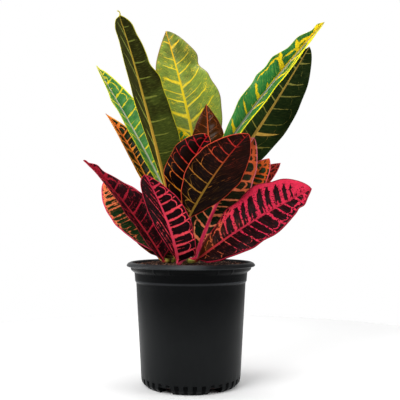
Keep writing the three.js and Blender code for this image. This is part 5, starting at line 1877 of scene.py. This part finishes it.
    def _cut_drains(self, pot: bpy.types.Object) -> None:
        """Cuts the drains out of the foot with a cutter that is then removed.

        Args:
            pot: The uncut pot.
        """
        shape = bmesh.new()
        length, middle = self.rim - self.drain_inner, (self.rim + self.drain_inner) / 2
        for i in range(self.drains):
            turn = (i + 0.5) * 2 * math.pi / self.drains + math.pi / 6
            cos, sin = math.cos(turn), math.sin(turn)
            for vert in bmesh.ops.create_cube(shape, size=1)["verts"]:
                x = (vert.co.x * length + middle) * MM
                y = vert.co.y * self.drain_width * MM
                up = (vert.co.z * (self.drain_height + 2) + self.drain_height / 2 - 1) * MM
                vert.co = Vector((x * cos - y * sin, x * sin + y * cos, up))
        cutter = add_object("drain_cutter", mesh_of("drain_cutter", shape))
        cut = pot.modifiers.new("drains", "BOOLEAN")
        cut.operation, cut.solver, cut.object = "DIFFERENCE", "EXACT", cutter
        bpy.context.view_layer.update()
        done = bpy.data.meshes.new_from_object(pot.evaluated_get(bpy.context.evaluated_depsgraph_get()))
        pot.modifiers.remove(cut)
        pot.data = done
        done.name = "pot_shell"
        bpy.data.objects.remove(cutter)


class Lamp(NamedTuple):
    """One soft light: its name, where it stands, how wide it is, and its power in watts."""

    name: str
    place: Point
    size: float
    power: float


@dataclass
class Studio:
    """A pale floor, soft lights and the camera at the photograph's angle."""

    camera_place: Point = (11.6, -817, 202)
    camera_pitch: float = 2.26
    lens: float = 56.97
    floor_radius: float = 620.0
    floor_sides: int = 128
    lamps: tuple[Lamp, ...] = (
        Lamp("key", (-700, -900, 1100), 900, 16),
        Lamp("right", (1000, -350, 600), 800, 7),
        Lamp("left", (-1100, 100, 450), 800, 7.5),
        Lamp("top", (100, 300, 1300), 900, 9),
    )
    aim: Point = (0, 0, 240)
    sky_front: float = 0.14
    sky_back: float = 0.5
    sky_turn: tuple[float, float] = (-0.6, 0.9)

    def build(self) -> None:
        """Places the floor, the lights, the sky and the camera."""
        self._floor()
        for lamp in self.lamps:
            self._light(lamp)
        self._sky()
        self._camera()

    def _floor(self) -> None:
        """Lays the pale floor, a wide disc."""
        shape = bmesh.new()
        radius = self.floor_radius * MM
        bmesh.ops.create_circle(shape, cap_ends=True, segments=self.floor_sides, radius=radius)
        board = Board("floor_paper")
        paper = board.blend(board.noise(board.place(), 3.0), (0.9, 0.9, 0.9), (0.93, 0.93, 0.93))
        floor = add_object("floor", mesh_of("floor", shape))
        floor.data.materials.append(board.finish(Base_Color=paper, Roughness=0.9, Specular_IOR_Level=0.2))

    def _light(self, lamp: Lamp) -> None:
        """Places one soft light that faces the plant.

        Args:
            lamp: The light's place, size and power.
        """
        data = bpy.data.lights.new(lamp.name, "AREA")
        data.shape, data.size, data.energy = "DISK", lamp.size * MM, lamp.power
        light = add_object(lamp.name, data)
        light.location = Vector(lamp.place) * MM
        light.rotation_euler = (Vector(self.aim) - Vector(lamp.place)).to_track_quat("-Z", "Y").to_euler()

    def _sky(self) -> None:
        """Sets a white ground that lights the plant softly, more from behind than from the front."""
        world = bpy.data.worlds.new("studio")
        world.use_nodes = True
        nodes, links = world.node_tree.nodes, world.node_tree.links
        back = nodes["Background"]
        back.inputs["Color"].default_value = (1, 1, 1, 1)
        toward, split = nodes.new("ShaderNodeTexCoord"), nodes.new("ShaderNodeSeparateXYZ")
        links.new(toward.outputs["Generated"], split.inputs[0])
        depth = nodes.new("ShaderNodeMapRange")
        for socket, number in zip(depth.inputs[1:5], (*self.sky_turn, self.sky_front, self.sky_back)):
            socket.default_value = number
        links.new(split.outputs["Y"], depth.inputs[0])
        path = nodes.new("ShaderNodeLightPath")
        strength = nodes.new("ShaderNodeMix")
        links.new(path.outputs["Is Camera Ray"], strength.inputs[0])
        links.new(depth.outputs[0], strength.inputs[2])
        strength.inputs[3].default_value = 1.0
        links.new(strength.outputs[0], back.inputs["Strength"])
        bpy.context.scene.world = world

    def _camera(self) -> None:
        """Places the camera."""
        data = bpy.data.cameras.new("camera")
        data.lens, data.sensor_width = self.lens, 36
        data.clip_start, data.clip_end = 0.01, 100
        camera = add_object("camera", data)
        camera.location = Vector(self.camera_place) * MM
        camera.rotation_euler = (math.radians(90 + self.camera_pitch), 0, 0)
        bpy.context.scene.camera = camera
        bpy.context.scene.view_settings.view_transform = "Standard"


def main() -> None:
    """Builds the pot, soil, stems and leaves in order, then the studio."""
    logging.basicConfig(level=logging.INFO, format="%(name)s: %(message)s")
    Pot().build()
    Soil().build()
    stems = Stems()
    stems.build()
    Foliage().build(stems.by_name())
    Studio().build()


if __name__ == "__main__":
    main()
